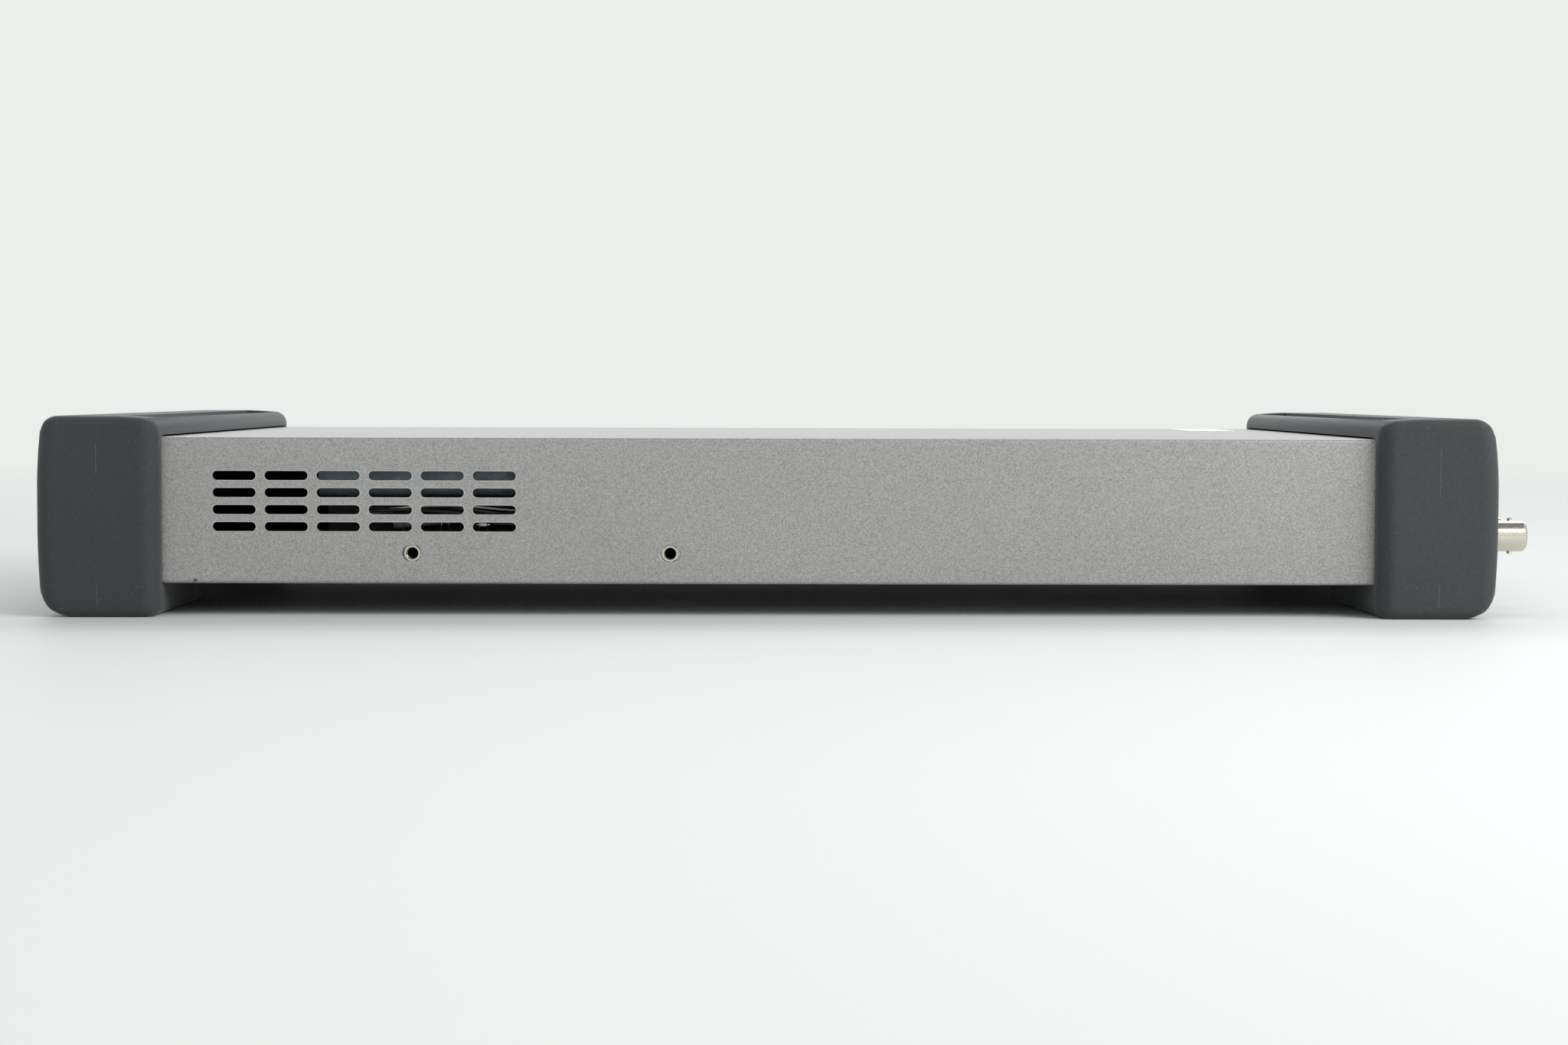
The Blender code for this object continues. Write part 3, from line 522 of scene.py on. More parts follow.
def painted_flake_glints(graph: Graph, colour: object) -> object:
    """Metallic paint: each flake cell painted a little lighter or darker, as painted glints of flakes
    that catch the light one by one, drawn at 0.26 mm so that they show.
    """
    graph.set("Coat Weight", 0.45)
    graph.set("Coat Roughness", 0.30)
    # painted glints: each flake cell drawn a little lighter or darker in the base colour
    return speckle(graph, colour, 0.26, 0.30)


def spangle(graph: Graph, colour: object) -> object:
    """Zinc plate: crystal patches a few millimetres across."""
    return speckle(graph, colour, 5.0, 0.12)


def solder_mask(graph: Graph, colour: object) -> object:
    """Laminate: paler copper tracks under green mask, in short square-cornered runs."""
    bricks = graph.add("ShaderNodeTexBrick", {
        "Vector": graph.place, "Color1": (0, 0, 0, 1), "Color2": (0.3, 0.3, 0.3, 1),
        "Mortar": (1, 1, 1, 1), "Scale": frequency(6.0), "Mortar Size": 0.035, "Bias": 0.2})
    graph.set("Coat Weight", 0.4)
    return graph.add("ShaderNodeMix", {0: bricks.outputs["Color"], 6: colour,
                                       7: linear("#3c8a55")}, data_type="RGBA",
                     blend_type="MIX").outputs[2]


def clear(graph: Graph, colour: object) -> object:
    """Acrylic: light passes through and the cell behind shows a little darkened."""
    graph.set("Transmission Weight", 1.0)
    graph.set("IOR", 1.49)
    return colour


# Injection-moulded rubber: an even matte skin with a faint texture and a little dust.
RUBBER = Finish("moulded rubber", "rubber", base="#343738", shade="#2e3132", roughness=0.74,
                spread=0.06, metallic=0.0, grain=0.5, drift=0.05, relief=0.020, relief_size=0.35,
                extra=dust)
# The hair of flash that the mould leaves at its parting line, worn paler.
FLASH = Finish("mould flash on rubber", "rubber", base="#5a5d5f", shade="#505354", roughness=0.70,
               spread=0.05)
# Sprayed metallic paint under a soft clear coat: the glints of its fine aluminium flakes are painted
# into the colour as lighter and darker cells.
PAINT = Finish("metallic paint on steel", "painted_steel", base="#969693", shade="#868684",
               roughness=0.38, spread=0.05, metallic=0.30, grain=0.3, drift=0.02, relief=0.012,
               relief_size=0.30, extra=painted_flake_glints)
# Paint drawn back and thickened at a punched edge: smooth and without flakes; its paler colour is a
# painted highlight where the edge catches the light.
BEAD_HIGHLIGHT = Finish("paint bead with painted highlight", "painted_steel", base="#b6b6b3", shade="#ababa8",
              roughness=0.34, spread=0.05, metallic=0.2, grain=0.3, drift=0.02)
# Zinc-plated sheet: bright metal with crystal patches.
ZINC = Finish("zinc-plated steel", "zinc_steel", base="#a3acb0", shade="#8e989d", roughness=0.36,
              spread=0.08, metallic=1.0, grain=1.2, drift=0.05, relief=0.006, relief_size=0.8,
              extra=spangle)
# Zinc-plated sheet with a satin face: the same metal, duller and bluer.
SHIELD = Finish("zinc-plated steel, satin", "zinc_steel", base="#8b979c", shade="#7f8b91",
                roughness=0.55, spread=0.06, metallic=0.6, grain=1.2, drift=0.05, relief=0.006,
                relief_size=0.8, extra=spangle)
# Plated and polished brass: warm bright metal with sharp reflections.
NICKEL = Finish("nickel plate", "nickel", base="#dedacb", shade="#cfcabb", roughness=0.16,
                spread=0.04, metallic=1.0, grain=0.3, drift=0.03, relief=0.001, relief_size=0.5)
# Zinc-plated screw heads: colder and duller than nickel.
SCREW = Finish("zinc-plated screws", "nickel", base="#c3c7c9", shade="#b2b7ba", roughness=0.30,
               spread=0.06, metallic=1.0, grain=0.5, drift=0.03, relief=0.002, relief_size=0.5)
# Gold flash on spring contacts: small yellow glints.
GOLD = Finish("gold-flashed contacts", "nickel", base="#d9b25c", shade="#cda24b", roughness=0.24,
              spread=0.05, metallic=1.0, grain=0.3, drift=0.03, relief=0.001, relief_size=0.5)
# Moulded ABS with a spark-eroded texture: dark, without gloss.
BEZEL = Finish("textured ABS, dark grey", "bezel_plastic", base="#3b3e42", shade="#34373a",
               roughness=0.58, spread=0.06, metallic=0.0, grain=0.4, drift=0.03, relief=0.018,
               relief_size=0.3)
# Moulded ABS keys: pale grey, slightly silky.
KEYCAP = Finish("ABS, light grey", "key_plastic", base="#b4b6b6", shade="#acaeae", roughness=0.48,
                spread=0.05, metallic=0.0, grain=0.5, drift=0.02, relief=0.008, relief_size=0.3)
# Moulded ABS knob: a warmer, darker grey.
KNOB = Finish("ABS, warm grey", "key_plastic", base="#8f9192", shade="#868889", roughness=0.46,
              spread=0.05, metallic=0.0, grain=0.5, drift=0.02, relief=0.010, relief_size=0.3)
# Moulded ABS: near black, slightly silky.
POWER_CAP = Finish("ABS, black", "black_plastic", base="#26272a", shade="#202124", roughness=0.46,
                   spread=0.05, metallic=0.0, grain=0.5, drift=0.02, relief=0.008, relief_size=0.3)
# Moulded polycarbonate: near black with a soft gloss.
BLACK = Finish("black polycarbonate", "black_plastic", base="#1d1d1f", shade="#17171a",
               roughness=0.44, spread=0.06, metallic=0.0, grain=0.5, drift=0.03, relief=0.010,
               relief_size=0.3)
# Vulcanised fibre sheet, black that gives back almost no light: painted shade for the dark space
# behind the vents, and the insulation barrier's near-black sheet.
FIBRE_AS_SHADE = Finish("black fibre sheet as painted shade", "black_plastic", base="#0f0e0d", shade="#0b0a0a",
               roughness=0.8, spread=0.05, metallic=0.0, grain=0.4)
# Black ink: flat and thin.
PRINT = Finish("black screen print", "black_plastic", base="#131416", shade="#17181a",
               roughness=0.50, spread=0.05, metallic=0.0, grain=0.3)
# White ink: flat and thin.
PALE_PRINT = Finish("white screen print", "ptfe", base="#dfe1e0", shade="#d6d8d7", roughness=0.55,
                    spread=0.05, metallic=0.0, grain=0.3)
# Etched laminate under green mask: glossy, with paler tracks.
LAMINATE = Finish("glass-epoxy laminate", "board_laminate", base="#1d5b38", shade="#174c2f",
                  roughness=0.38, spread=0.05, metallic=0.0, grain=1.5, drift=0.04, relief=0.02,
                  relief_size=1.2, extra=solder_mask)
# Turned PTFE: waxy white.
PTFE = Finish("white PTFE", "ptfe", base="#e9e8e3", shade="#dddcd6", roughness=0.45, spread=0.05,
              metallic=0.0, grain=0.6, drift=0.02, relief=0.006, relief_size=0.4)
# Wound polyester tape: glossy yellow with ripples.
TAPE = Finish("yellow polyester tape", "winding_tape", base="#d8b73f", shade="#c9a530",
              roughness=0.34, spread=0.06, metallic=0.0, grain=1.5, drift=0.06, relief=0.02,
              relief_size=2.0)
# Extruded and anodised aluminium: satin black metal.
ANODISED = Finish("black anodised aluminium", "anodised_aluminium", base="#2b2c2e",
                  shade="#222325", roughness=0.42, spread=0.05, metallic=0.85, grain=0.4,
                  drift=0.03, relief=0.006, relief_size=0.3)
# Extruded PVC: smooth grey with a soft gloss.
WIRE = Finish("grey PVC insulation", "cable_insulation", base="#8f9294", shade="#85888a",
              roughness=0.42, spread=0.05)
# The same in white; the white stands in partly for glints on the leads, a painted highlight.
WHITE_WIRE_GLINT = Finish("white PVC insulation with painted glint", "cable_insulation", base="#d9d8d2", shade="#cfcec8",
                    roughness=0.35, spread=0.05)
# Moulded lens over an unlit lamp.
AMBER = Finish("amber lens", "window_glass", base="#c98a2c", shade="#bd7f25", roughness=0.20,
               spread=0.04)
# The same in green.
GREEN = Finish("green lens", "window_glass", base="#4f9a55", shade="#468c4c", roughness=0.20,
               spread=0.04)
# Cast acrylic, tinted: clear and glossy.
GLASS = Finish("tinted acrylic window", "window_glass", base="#9aa3a8", shade="#949da2",
               roughness=0.05, spread=0.02, metallic=0.0, grain=1.0, drift=0.0, relief=0.0,
               relief_size=1.0, extra=clear)
# Unpowered liquid crystal: dark blue-grey with a smooth face.
CELL = Finish("liquid crystal cell", "lcd_cell", base="#3c4a55", shade="#374550", roughness=0.22,
              spread=0.04, metallic=0.0, grain=2.0, drift=0.02, relief=0.0, relief_size=1.0)
# Coated paper: flat white.
LABEL = Finish("white paper label", "ptfe", base="#dfe0dc", shade="#d9dad6", roughness=0.6,
               spread=0.04, metallic=0.0, grain=0.3, drift=0.01, relief=0.006, relief_size=0.25)

SLOT_FINISHES = {finish.slot: finish for finish in
                 (RUBBER, PAINT, ZINC, NICKEL, BEZEL, KEYCAP, BLACK, LAMINATE, PTFE, TAPE,
                  ANODISED, WIRE, GLASS, CELL)}


def dress_nodes(frame: dict) -> None:
    """Give every carried-over CAD node the finish of its material slot."""
    slots = {entry["node"]: entry["material_slot"] for entry in frame["record"]["subparts"]}
    for node, obj in frame["nodes"].items():
        finish = SLOT_FINISHES.get(slots.get(node, ""), BLACK)
        for material_slot in obj.material_slots:
            material_slot.material = finish.material()
        if not obj.material_slots:
            obj.data.materials.append(finish.material())


# ------------------------------------------------------------------ stage
@dataclass(frozen=True)
class Camera:
    """Where the camera stands and how it looks, in metres and radians."""

    position: tuple[float, float, float] = (-0.9143, 0.0117, 0.0669)
    pitch: float = 0.0483
    yaw: float = -0.0095
    roll: float = 0.0026
    lens: float = 63.25

    def build(self) -> bpy.types.Object:
        """Make the camera and set it as the scene's."""
        data = bpy.data.cameras.new("view")
        data.lens = self.lens
        data.sensor_width = 36.0
        data.clip_start = 0.05
        data.clip_end = 20.0
        obj = bpy.data.objects.new("view", data)
        bpy.context.scene.collection.objects.link(obj)
        ahead = Vector((math.cos(self.pitch) * math.cos(self.yaw),
                        math.cos(self.pitch) * math.sin(self.yaw), -math.sin(self.pitch)))
        right = ahead.cross(Vector((0, 0, 1))).normalized()
        up = right.cross(ahead)
        basis = Matrix((right, up, -ahead)).transposed()
        turn = basis @ Matrix.Rotation(self.roll, 3, "Z")
        obj.matrix_world = Matrix.Translation(self.position) @ turn.to_4x4()
        bpy.context.scene.camera = obj
        return obj


@dataclass(frozen=True)
class Studio:
    """Plain pale floor, white surroundings and soft lamps."""

    paper: str = "#eceeeb"
    sheet: str = "#cdd0ce"
    floor_radius: float = 6.0
    horizon: float = 1.0
    zenith: float = 0.30
    key: float = 9.6
    back: float = 17.0
    front: float = 1.5

    def build(self) -> None:
        """Make the floor, the world and the lamps."""
        self.floor()
        self.world()
        self.lamp("front end softbox", (-0.62, -0.78, 0.55), (0.7, 0.5), self.key)
        self.lamp("back softbox", (1.1, -0.1, 1.5), (2.4, 1.0), self.back)
        self.lamp("camera side softbox", (-1.5, -0.2, 1.4), (1.6, 0.8), self.front)
        bpy.context.scene.view_settings.view_transform = "Standard"

    def floor(self) -> None:
        """A wide sheet that takes the shadow near the object and fades into the white behind."""
        form = Form()
        form.prism(circle_outline(self.floor_radius, 96), -0.004, 0.0)
        graph = Graph("seamless paper")
        graph.set("Base Color", linear(self.sheet))
        graph.set("Roughness", 0.55)
        graph.set("Specular IOR Level", 0.2)
        fibre = graph.add("ShaderNodeTexNoise", {"Vector": graph.place, "Detail": 2.0,
                                                 "Scale": frequency(3.0)})
        grain = graph.add("ShaderNodeBump", {"Height": fibre.outputs["Fac"],
                                             "Distance": 0.00002})
        graph.set("Normal", grain.outputs[0])
        glow = graph.add("ShaderNodeEmission", {"Color": linear(self.paper), "Strength": 1.0})
        reach = graph.add("ShaderNodeVectorMath", {0: graph.place}, operation="LENGTH")
        fade = graph.add("ShaderNodeMapRange", {0: reach.outputs["Value"], 1: 0.45, 2: 1.6,
                                                3: 0.0, 4: 1.0})
        blend = graph.add("ShaderNodeMixShader", {0: fade.outputs[0], 1: graph.shader.outputs[0],
                                                  2: glow.outputs[0]})
        output = graph.nodes["Material Output"]
        graph.links.new(blend.outputs[0], output.inputs["Surface"])
        mesh = bpy.data.meshes.new("floor")
        bmesh.ops.recalc_face_normals(form.bm, faces=form.bm.faces)
        form.bm.to_mesh(mesh)
        form.bm.free()
        mesh.materials.append(graph.material)
        obj = bpy.data.objects.new("floor", mesh)
        bpy.context.scene.collection.objects.link(obj)

    def world(self) -> None:
        """White to the camera; as light, white near the horizon and darker overhead."""
        world = bpy.data.worlds.new("white room")
        bpy.context.scene.world = world
        world.use_nodes = True
        nodes, links = world.node_tree.nodes, world.node_tree.links
        light = nodes["Background"]
        place = nodes.new("ShaderNodeTexCoord")
        parts = nodes.new("ShaderNodeSeparateXYZ")
        climb = nodes.new("ShaderNodeMapRange")
        climb.interpolation_type = "SMOOTHSTEP"
        for index, value in ((1, 0.55), (2, 0.97), (3, self.horizon), (4, self.zenith)):
            climb.inputs[index].default_value = value
        links.new(place.outputs["Generated"], parts.inputs[0])
        links.new(parts.outputs["Z"], climb.inputs[0])
        light.inputs["Color"].default_value = linear("#f9fafc")
        links.new(climb.outputs[0], light.inputs["Strength"])
        seen = nodes.new("ShaderNodeBackground")
        seen.inputs["Color"].default_value = linear(self.paper)
        path = nodes.new("ShaderNodeLightPath")
        mix = nodes.new("ShaderNodeMixShader")
        links.new(path.outputs["Is Camera Ray"], mix.inputs[0])
        links.new(light.outputs[0], mix.inputs[1])
        links.new(seen.outputs[0], mix.inputs[2])
        links.new(mix.outputs[0], nodes["World Output"].inputs["Surface"])

    def lamp(self, name: str, place: tuple[float, float, float], size: tuple[float, float],
             power: float) -> None:
        """A rectangular softbox that looks at the object."""
        data = bpy.data.lights.new(name, "AREA")
        data.shape = "RECTANGLE"
        data.size, data.size_y = size
        data.energy = power
        obj = bpy.data.objects.new(name, data)
        bpy.context.scene.collection.objects.link(obj)
        obj.location = place
        obj.rotation_euler = (-Vector(place)).to_track_quat("-Z", "Y").to_euler()


# ------------------------------------------------------------------ bumpers
@dataclass
class Bumper:
    """A rubber boot round one end of the sleeve.

    Attributes:
        node: CAD node it stands for.
        outward: +1 at the rear, -1 at the front.
        crest_edge: Roundness of the outer top edge.
        crest_belly: How far the outer face leans in at its top.
    """

    node: str
    outward: int
    crest_edge: float = 5.0 * MM
    crest_belly: float = 1.6 * MM
    upright_edge: float = 5.0 * MM
    foot_edge: float = 9.0 * MM
    foot_belly: float = 1.2 * MM
    foot_rocker: float = 0.35 * MM
    inner_foot_edge: float = 3.0 * MM
    inner_top_edge: float = 4.4 * MM
    side_edge: float = 2.6 * MM
    crown_drop: float = 0.9 * MM
    crown_reach: float = 14.0 * MM
    inner_rim: float = 3.5 * MM
    pocket: float = 9.0 * MM
    pocket_end: float = 15.0 * MM
    pocket_depth: float = 3.4 * MM
    foot_length: float = 68.0 * MM
    arch_roof: float = 4.5 * MM
    lip: float = 3.0 * MM
    lip_cover: float = 3.0 * MM
    seam: float = 18.2 * MM
    seam_runs: tuple[Point, ...] = ((3.5 * MM, 9.5 * MM), (42.0 * MM, 50.5 * MM))

    def roundness(self, middle: Vector, along: Vector) -> float:
        """Edge radius for one edge of the plain block, by where the edge is."""
        outer = middle.y * self.outward > MM
        low, high = middle.z < -MM, middle.z > MM
        if abs(along.y) > MM:
            return self.side_edge
        if not (low or high):
            return self.upright_edge
        if outer:
            return self.foot_edge if low else self.crest_edge
        return self.inner_foot_edge if low else self.inner_top_edge

    def block(self, box: Box) -> Form:
        """The boot's outer form: a box with a different roundness on each kind of edge."""
        mesh = bpy.data.meshes.new("block")
        bm = bmesh.new()
        bmesh.ops.create_cube(bm, size=1.0, matrix=Matrix.Diagonal((*box.size, 1.0)))
        layer = bm.edges.layers.float.new("bevel_weight_edge")
        for edge in bm.edges:
            middle = (edge.verts[0].co + edge.verts[1].co) / 2
            along = edge.verts[1].co - edge.verts[0].co
            edge[layer] = self.roundness(middle, along) / self.foot_edge
        bm.to_mesh(mesh)
        bm.free()
        obj = bpy.data.objects.new("block", mesh)
        bpy.context.scene.collection.objects.link(obj)
        bevel = obj.modifiers.new("Bevel", "BEVEL")
        bevel.width = self.foot_edge
        bevel.segments = 8
        bevel.limit_method = "WEIGHT"
        bpy.context.view_layer.update()
        rounded = bpy.data.meshes.new_from_object(
            obj.evaluated_get(bpy.context.evaluated_depsgraph_get()))
        form = Form()
        form.bm.from_mesh(rounded)
        bpy.data.objects.remove(obj, do_unlink=True)
        bpy.data.meshes.remove(mesh)
        bpy.data.meshes.remove(rounded)
        form.bm.transform(Matrix.Translation(box.centre))
        return form

    def soften(self, form: Form, box: Box) -> None:
        """Crown the top towards the inner edge, let the outer face bulge, rock the feet."""
        inner_y = box.low.y if self.outward > 0 else box.high.y
        for step in range(1, 12):
            form.slice((0, inner_y + self.outward * box.size.y * step / 12, 0), (0, 1, 0))
        for step in range(1, 12):
            form.slice((0, 0, box.low.z + box.size.z * step / 12), (0, 0, 1))
        for vert in form.bm.verts:
            inset = abs(vert.co.y - inner_y)
            if vert.co.z > box.centre.z and inset < self.crown_reach:
                share = 1 - inset / self.crown_reach
                height = max(0.0, 1 - (box.high.z - vert.co.z) / (7 * MM))
                vert.co.z -= self.crown_drop * share ** 1.6 * height
            rise = (vert.co.z - box.centre.z) / (box.size.z / 2)
            depth = (inset / box.size.y) ** 1.5
            lean = self.crest_belly * max(0.0, (rise - 0.25) / 0.75) ** 2
            lean += self.foot_belly * max(0.0, (-0.2 - rise) / 0.8) ** 1.5
            vert.co.y -= self.outward * lean * depth
            if rise < -0.85:
                middle = abs(inset / box.size.y - 0.45) / 0.55
                vert.co.z += self.foot_rocker * middle ** 2
            if abs(vert.co.x) > box.high.x - 3 * MM:
                vert.co.x -= math.copysign(0.35 * MM * rise ** 2, vert.co.x)

    def hollows(self, box: Box, sleeve: Box) -> Iterable[Form]:
        """The tools that open the boot: seat, mouth, stacking pocket and arch."""
        gap = 0.3 * MM
        outer_y = box.high.y if self.outward > 0 else box.low.y
        inner_y = box.low.y if self.outward > 0 else box.high.y
        middle = sleeve.centre
        seat_y = outer_y - self.outward * (self.lip + box.size.y / 2)
        yield Form().box((sleeve.size.x + 2 * gap, box.size.y, sleeve.size.z + 2 * gap),
                         (0, seat_y, middle.z), 0.8 * MM)
        flare = Form().box((sleeve.size.x - 6 * MM, 5 * MM, 1.6 * MM), (0, 0, 0), 0.5 * MM)
        flare.bm.transform(Matrix.Translation((0, inner_y, sleeve.high.z - 0.3 * MM))
                           @ Matrix.Rotation(self.outward * math.radians(14), 4, "X"))
        yield flare
        yield Form().box((sleeve.size.x - 2 * self.lip_cover, 20 * MM,
                          sleeve.size.z - 2 * self.lip_cover), (0, outer_y, middle.z), 2.0 * MM, 4)
        pocket_y = inner_y + self.outward * (self.inner_rim + self.pocket / 2)
        yield Form().box((box.size.x - 2 * self.pocket_end, self.pocket, 2 * self.pocket_depth),
                         (0, pocket_y, box.high.z), 0.9 * MM, 3)
        yield Form().box((box.size.x - 2 * self.foot_length, box.size.y + 20 * MM,
                          2 * (sleeve.low.z - self.arch_roof)), (0, box.centre.y, 0), 2.0 * MM, 4)

    def seam_lines(self, box: Box) -> None:
        """The mould's parting line: a hair of flash down each side face."""
        y = (box.high.y if self.outward > 0 else box.low.y) - self.outward * self.seam
        form = Form()
        for side in (-1, 1):
            x = side * (box.size.x / 2 - 0.02 * MM)
            for low, high in self.seam_runs:
                line = [Vector((x - side * 0.35 * MM * ((z - box.centre.z)
                                                        / (box.size.z / 2)) ** 2, y, z))
                        for z in (low, (low + high) / 2, high)]
                form.tube(line, 0.055 * MM, 6)
        form.emit(f"{self.node}_seam", FLASH)

    def build(self, sleeve: Box) -> bpy.types.Object:
        """Make the boot."""
        box = Box.of(self.node)
        form = self.block(box)
        self.soften(form, box)
        for tool in self.hollows(box, sleeve):
            form.cut(tool)
        self.seam_lines(box)
        return form.emit(f"{self.node}_boot", RUBBER, replaces=[self.node], smooth=40)


# ------------------------------------------------------------------ sleeve
@dataclass
class Sleeve:
    """The folded steel cover with its vents, insert holes, notch, nuts and label."""

    sheet: float = 1.0 * MM
    bend: float = 0.9 * MM
    columns: int = 6
    rows: int = 4
    slot: Point = (12.66 * MM, 2.66 * MM)
    pitch: Point = (15.24 * MM, 5.0 * MM)
    first: Point = (41.9 * MM, 11.3 * MM)
    holes: Point = (5.9 * MM, 4.55 * MM)
    hole_rise: float = 8.9 * MM
    hole_first: float = 93.9 * MM
    hole_pitch: float = 75.8 * MM
    burr: float = 0.26 * MM
    notch: float = 1.3 * MM
    notch_from_rear: float = 30.5 * MM
    label: Point = (50.0 * MM, 17.5 * MM)
    label_place: Point = (75.5 * MM, -147.0 * MM)

    def opening(self, facing: Facing, box: Box, y: float, z: float, size: Point) -> Form:
        """Cutter for one obround, flared where it meets the outer face."""
        x = box.low.x if facing is Facing.LEFT else box.high.x
        form = Form()
        loops = []
        for height, grow in ((-self.sheet - MM, 0.0), (-self.burr, 0.0),
                             (-self.burr * 0.3, 0.09 * MM), (0.0, self.burr),
                             (MM, self.burr + MM)):
            width, tall = size[0] + 2 * grow, size[1] + 2 * grow
            loops.append([Vector((px, py, height)) for px, py in
                          rounded_outline(width, tall, tall / 2, 8)])
        form.loft(loops)
        form.bm.transform(facing.at(x, y, z))
        return form

    def build(self) -> None:
        """Make the cover, its nuts and its label."""
        box = Box.of("cover_sleeve")
        half = box.size.y / 2
        form = Form().prism(rounded_outline(box.size.x, box.size.z, self.bend, 6), -half, half)
        inner = Form().prism(rounded_outline(box.size.x - 2 * self.sheet,
                                             box.size.z - 2 * self.sheet, 0.3 * MM, 4),
                             -half - MM, half + MM)
        form.cut(inner)
        form.bm.transform(Facing.FRONT.at(0, box.centre.y, box.centre.z))
        tools = Form()
        for facing in (Facing.LEFT, Facing.RIGHT):
            for column in range(self.columns):
                for row in range(self.rows):
                    y = box.high.y - self.first[0] - column * self.pitch[0]
                    z = box.high.z - self.first[1] - row * self.pitch[1]
                    tools.add(self.opening(facing, box, y, z, self.slot))
            for step in range(2):
                y = box.high.y - self.hole_first - step * self.hole_pitch
                tools.add(self.opening(facing, box, y, box.low.z + self.hole_rise, self.holes))
        form.cut(tools)
        for side in (-1, 1):
            form.cut(Form().box((3 * MM, self.notch, 2 * self.notch),
                                     (side * box.high.x, box.high.y - self.notch_from_rear,
                                      box.low.z)))
        form.emit("sleeve_cover", PAINT, replaces=["cover_sleeve"], smooth=20)
        self.bead_highlights(box)
        self.nuts()
        self.sticker(box)

    def bead_highlights(self, box: Box) -> None:
        """The thick edge of paint round each vent, coloured paler than the sheet as a painted
        highlight where it catches the light.
        """
        rims, holes = Form(), Form()
        width, tall = self.slot
        for facing, x in ((Facing.LEFT, box.low.x), (Facing.RIGHT, box.high.x)):
            for column in range(self.columns):
                for row in range(self.rows):
                    place = facing.at(x, box.high.y - self.first[0] - column * self.pitch[0],
                                      box.high.z - self.first[1] - row * self.pitch[1])
                    outer = rounded_outline(width + 0.46 * MM, tall + 0.46 * MM,
                                            tall / 2 + 0.23 * MM, 8)
                    inner = rounded_outline(width + 0.1 * MM, tall + 0.1 * MM,
                                            tall / 2 + 0.05 * MM, 8)
                    rims.add(Form().prism(outer, -0.2 * MM, 0.04 * MM, edge=0.03 * MM), place)
                    holes.add(Form().prism(inner, -MM, MM), place)
        rims.cut(holes)
        # the paler bead colour round each vent is a painted highlight
        rims.emit("vent_bead_highlights", BEAD_HIGHLIGHT, smooth=30)

    def nuts(self) -> None:
        """Press-in nuts with a bright chamfered mouth and a threaded bore."""
        for side, facing in (("left", Facing.LEFT), ("right", Facing.RIGHT)):
            for place in ("rear", "front"):
                node = f"insert_nut_{side}_{place}"
                box = Box.of(node)
                mouth = box.low.x if facing is Facing.LEFT else box.high.x
                radius, shank, bore, depth = box.size.y / 2, 2.45 * MM, 1.67 * MM, box.size.x
                profile = [(bore, -depth), (radius, -depth), (radius, -1.5 * MM),
                           (shank, -1.5 * MM), (shank, -0.15 * MM), (shank - 0.15 * MM, 0.0),
                           (bore + 0.22 * MM, 0.0)]
                turn = 0.42 * MM
                height = -0.40 * MM
                while height > -depth + 0.5 * MM:
                    profile += [(bore + 0.02 * MM, height), (bore + 0.30 * MM, height - turn / 2)]
                    height -= turn
                form = Form(facing.at(mouth, box.centre.y, box.centre.z))
                form.lathe(profile, 48, closed=True)
                form.emit(f"{node}_turned", NICKEL, replaces=[node], smooth=25)

    def sticker(self, box: Box) -> None:
        """A blank paper label on the top."""
        form = Form(Facing.UP.at(*self.label_place, box.high.z))
        form.prism(rounded_outline(*self.label, 1.2 * MM), 0.02 * MM, 0.14 * MM, edge=0.05 * MM)
        form.emit("top_label", LABEL)


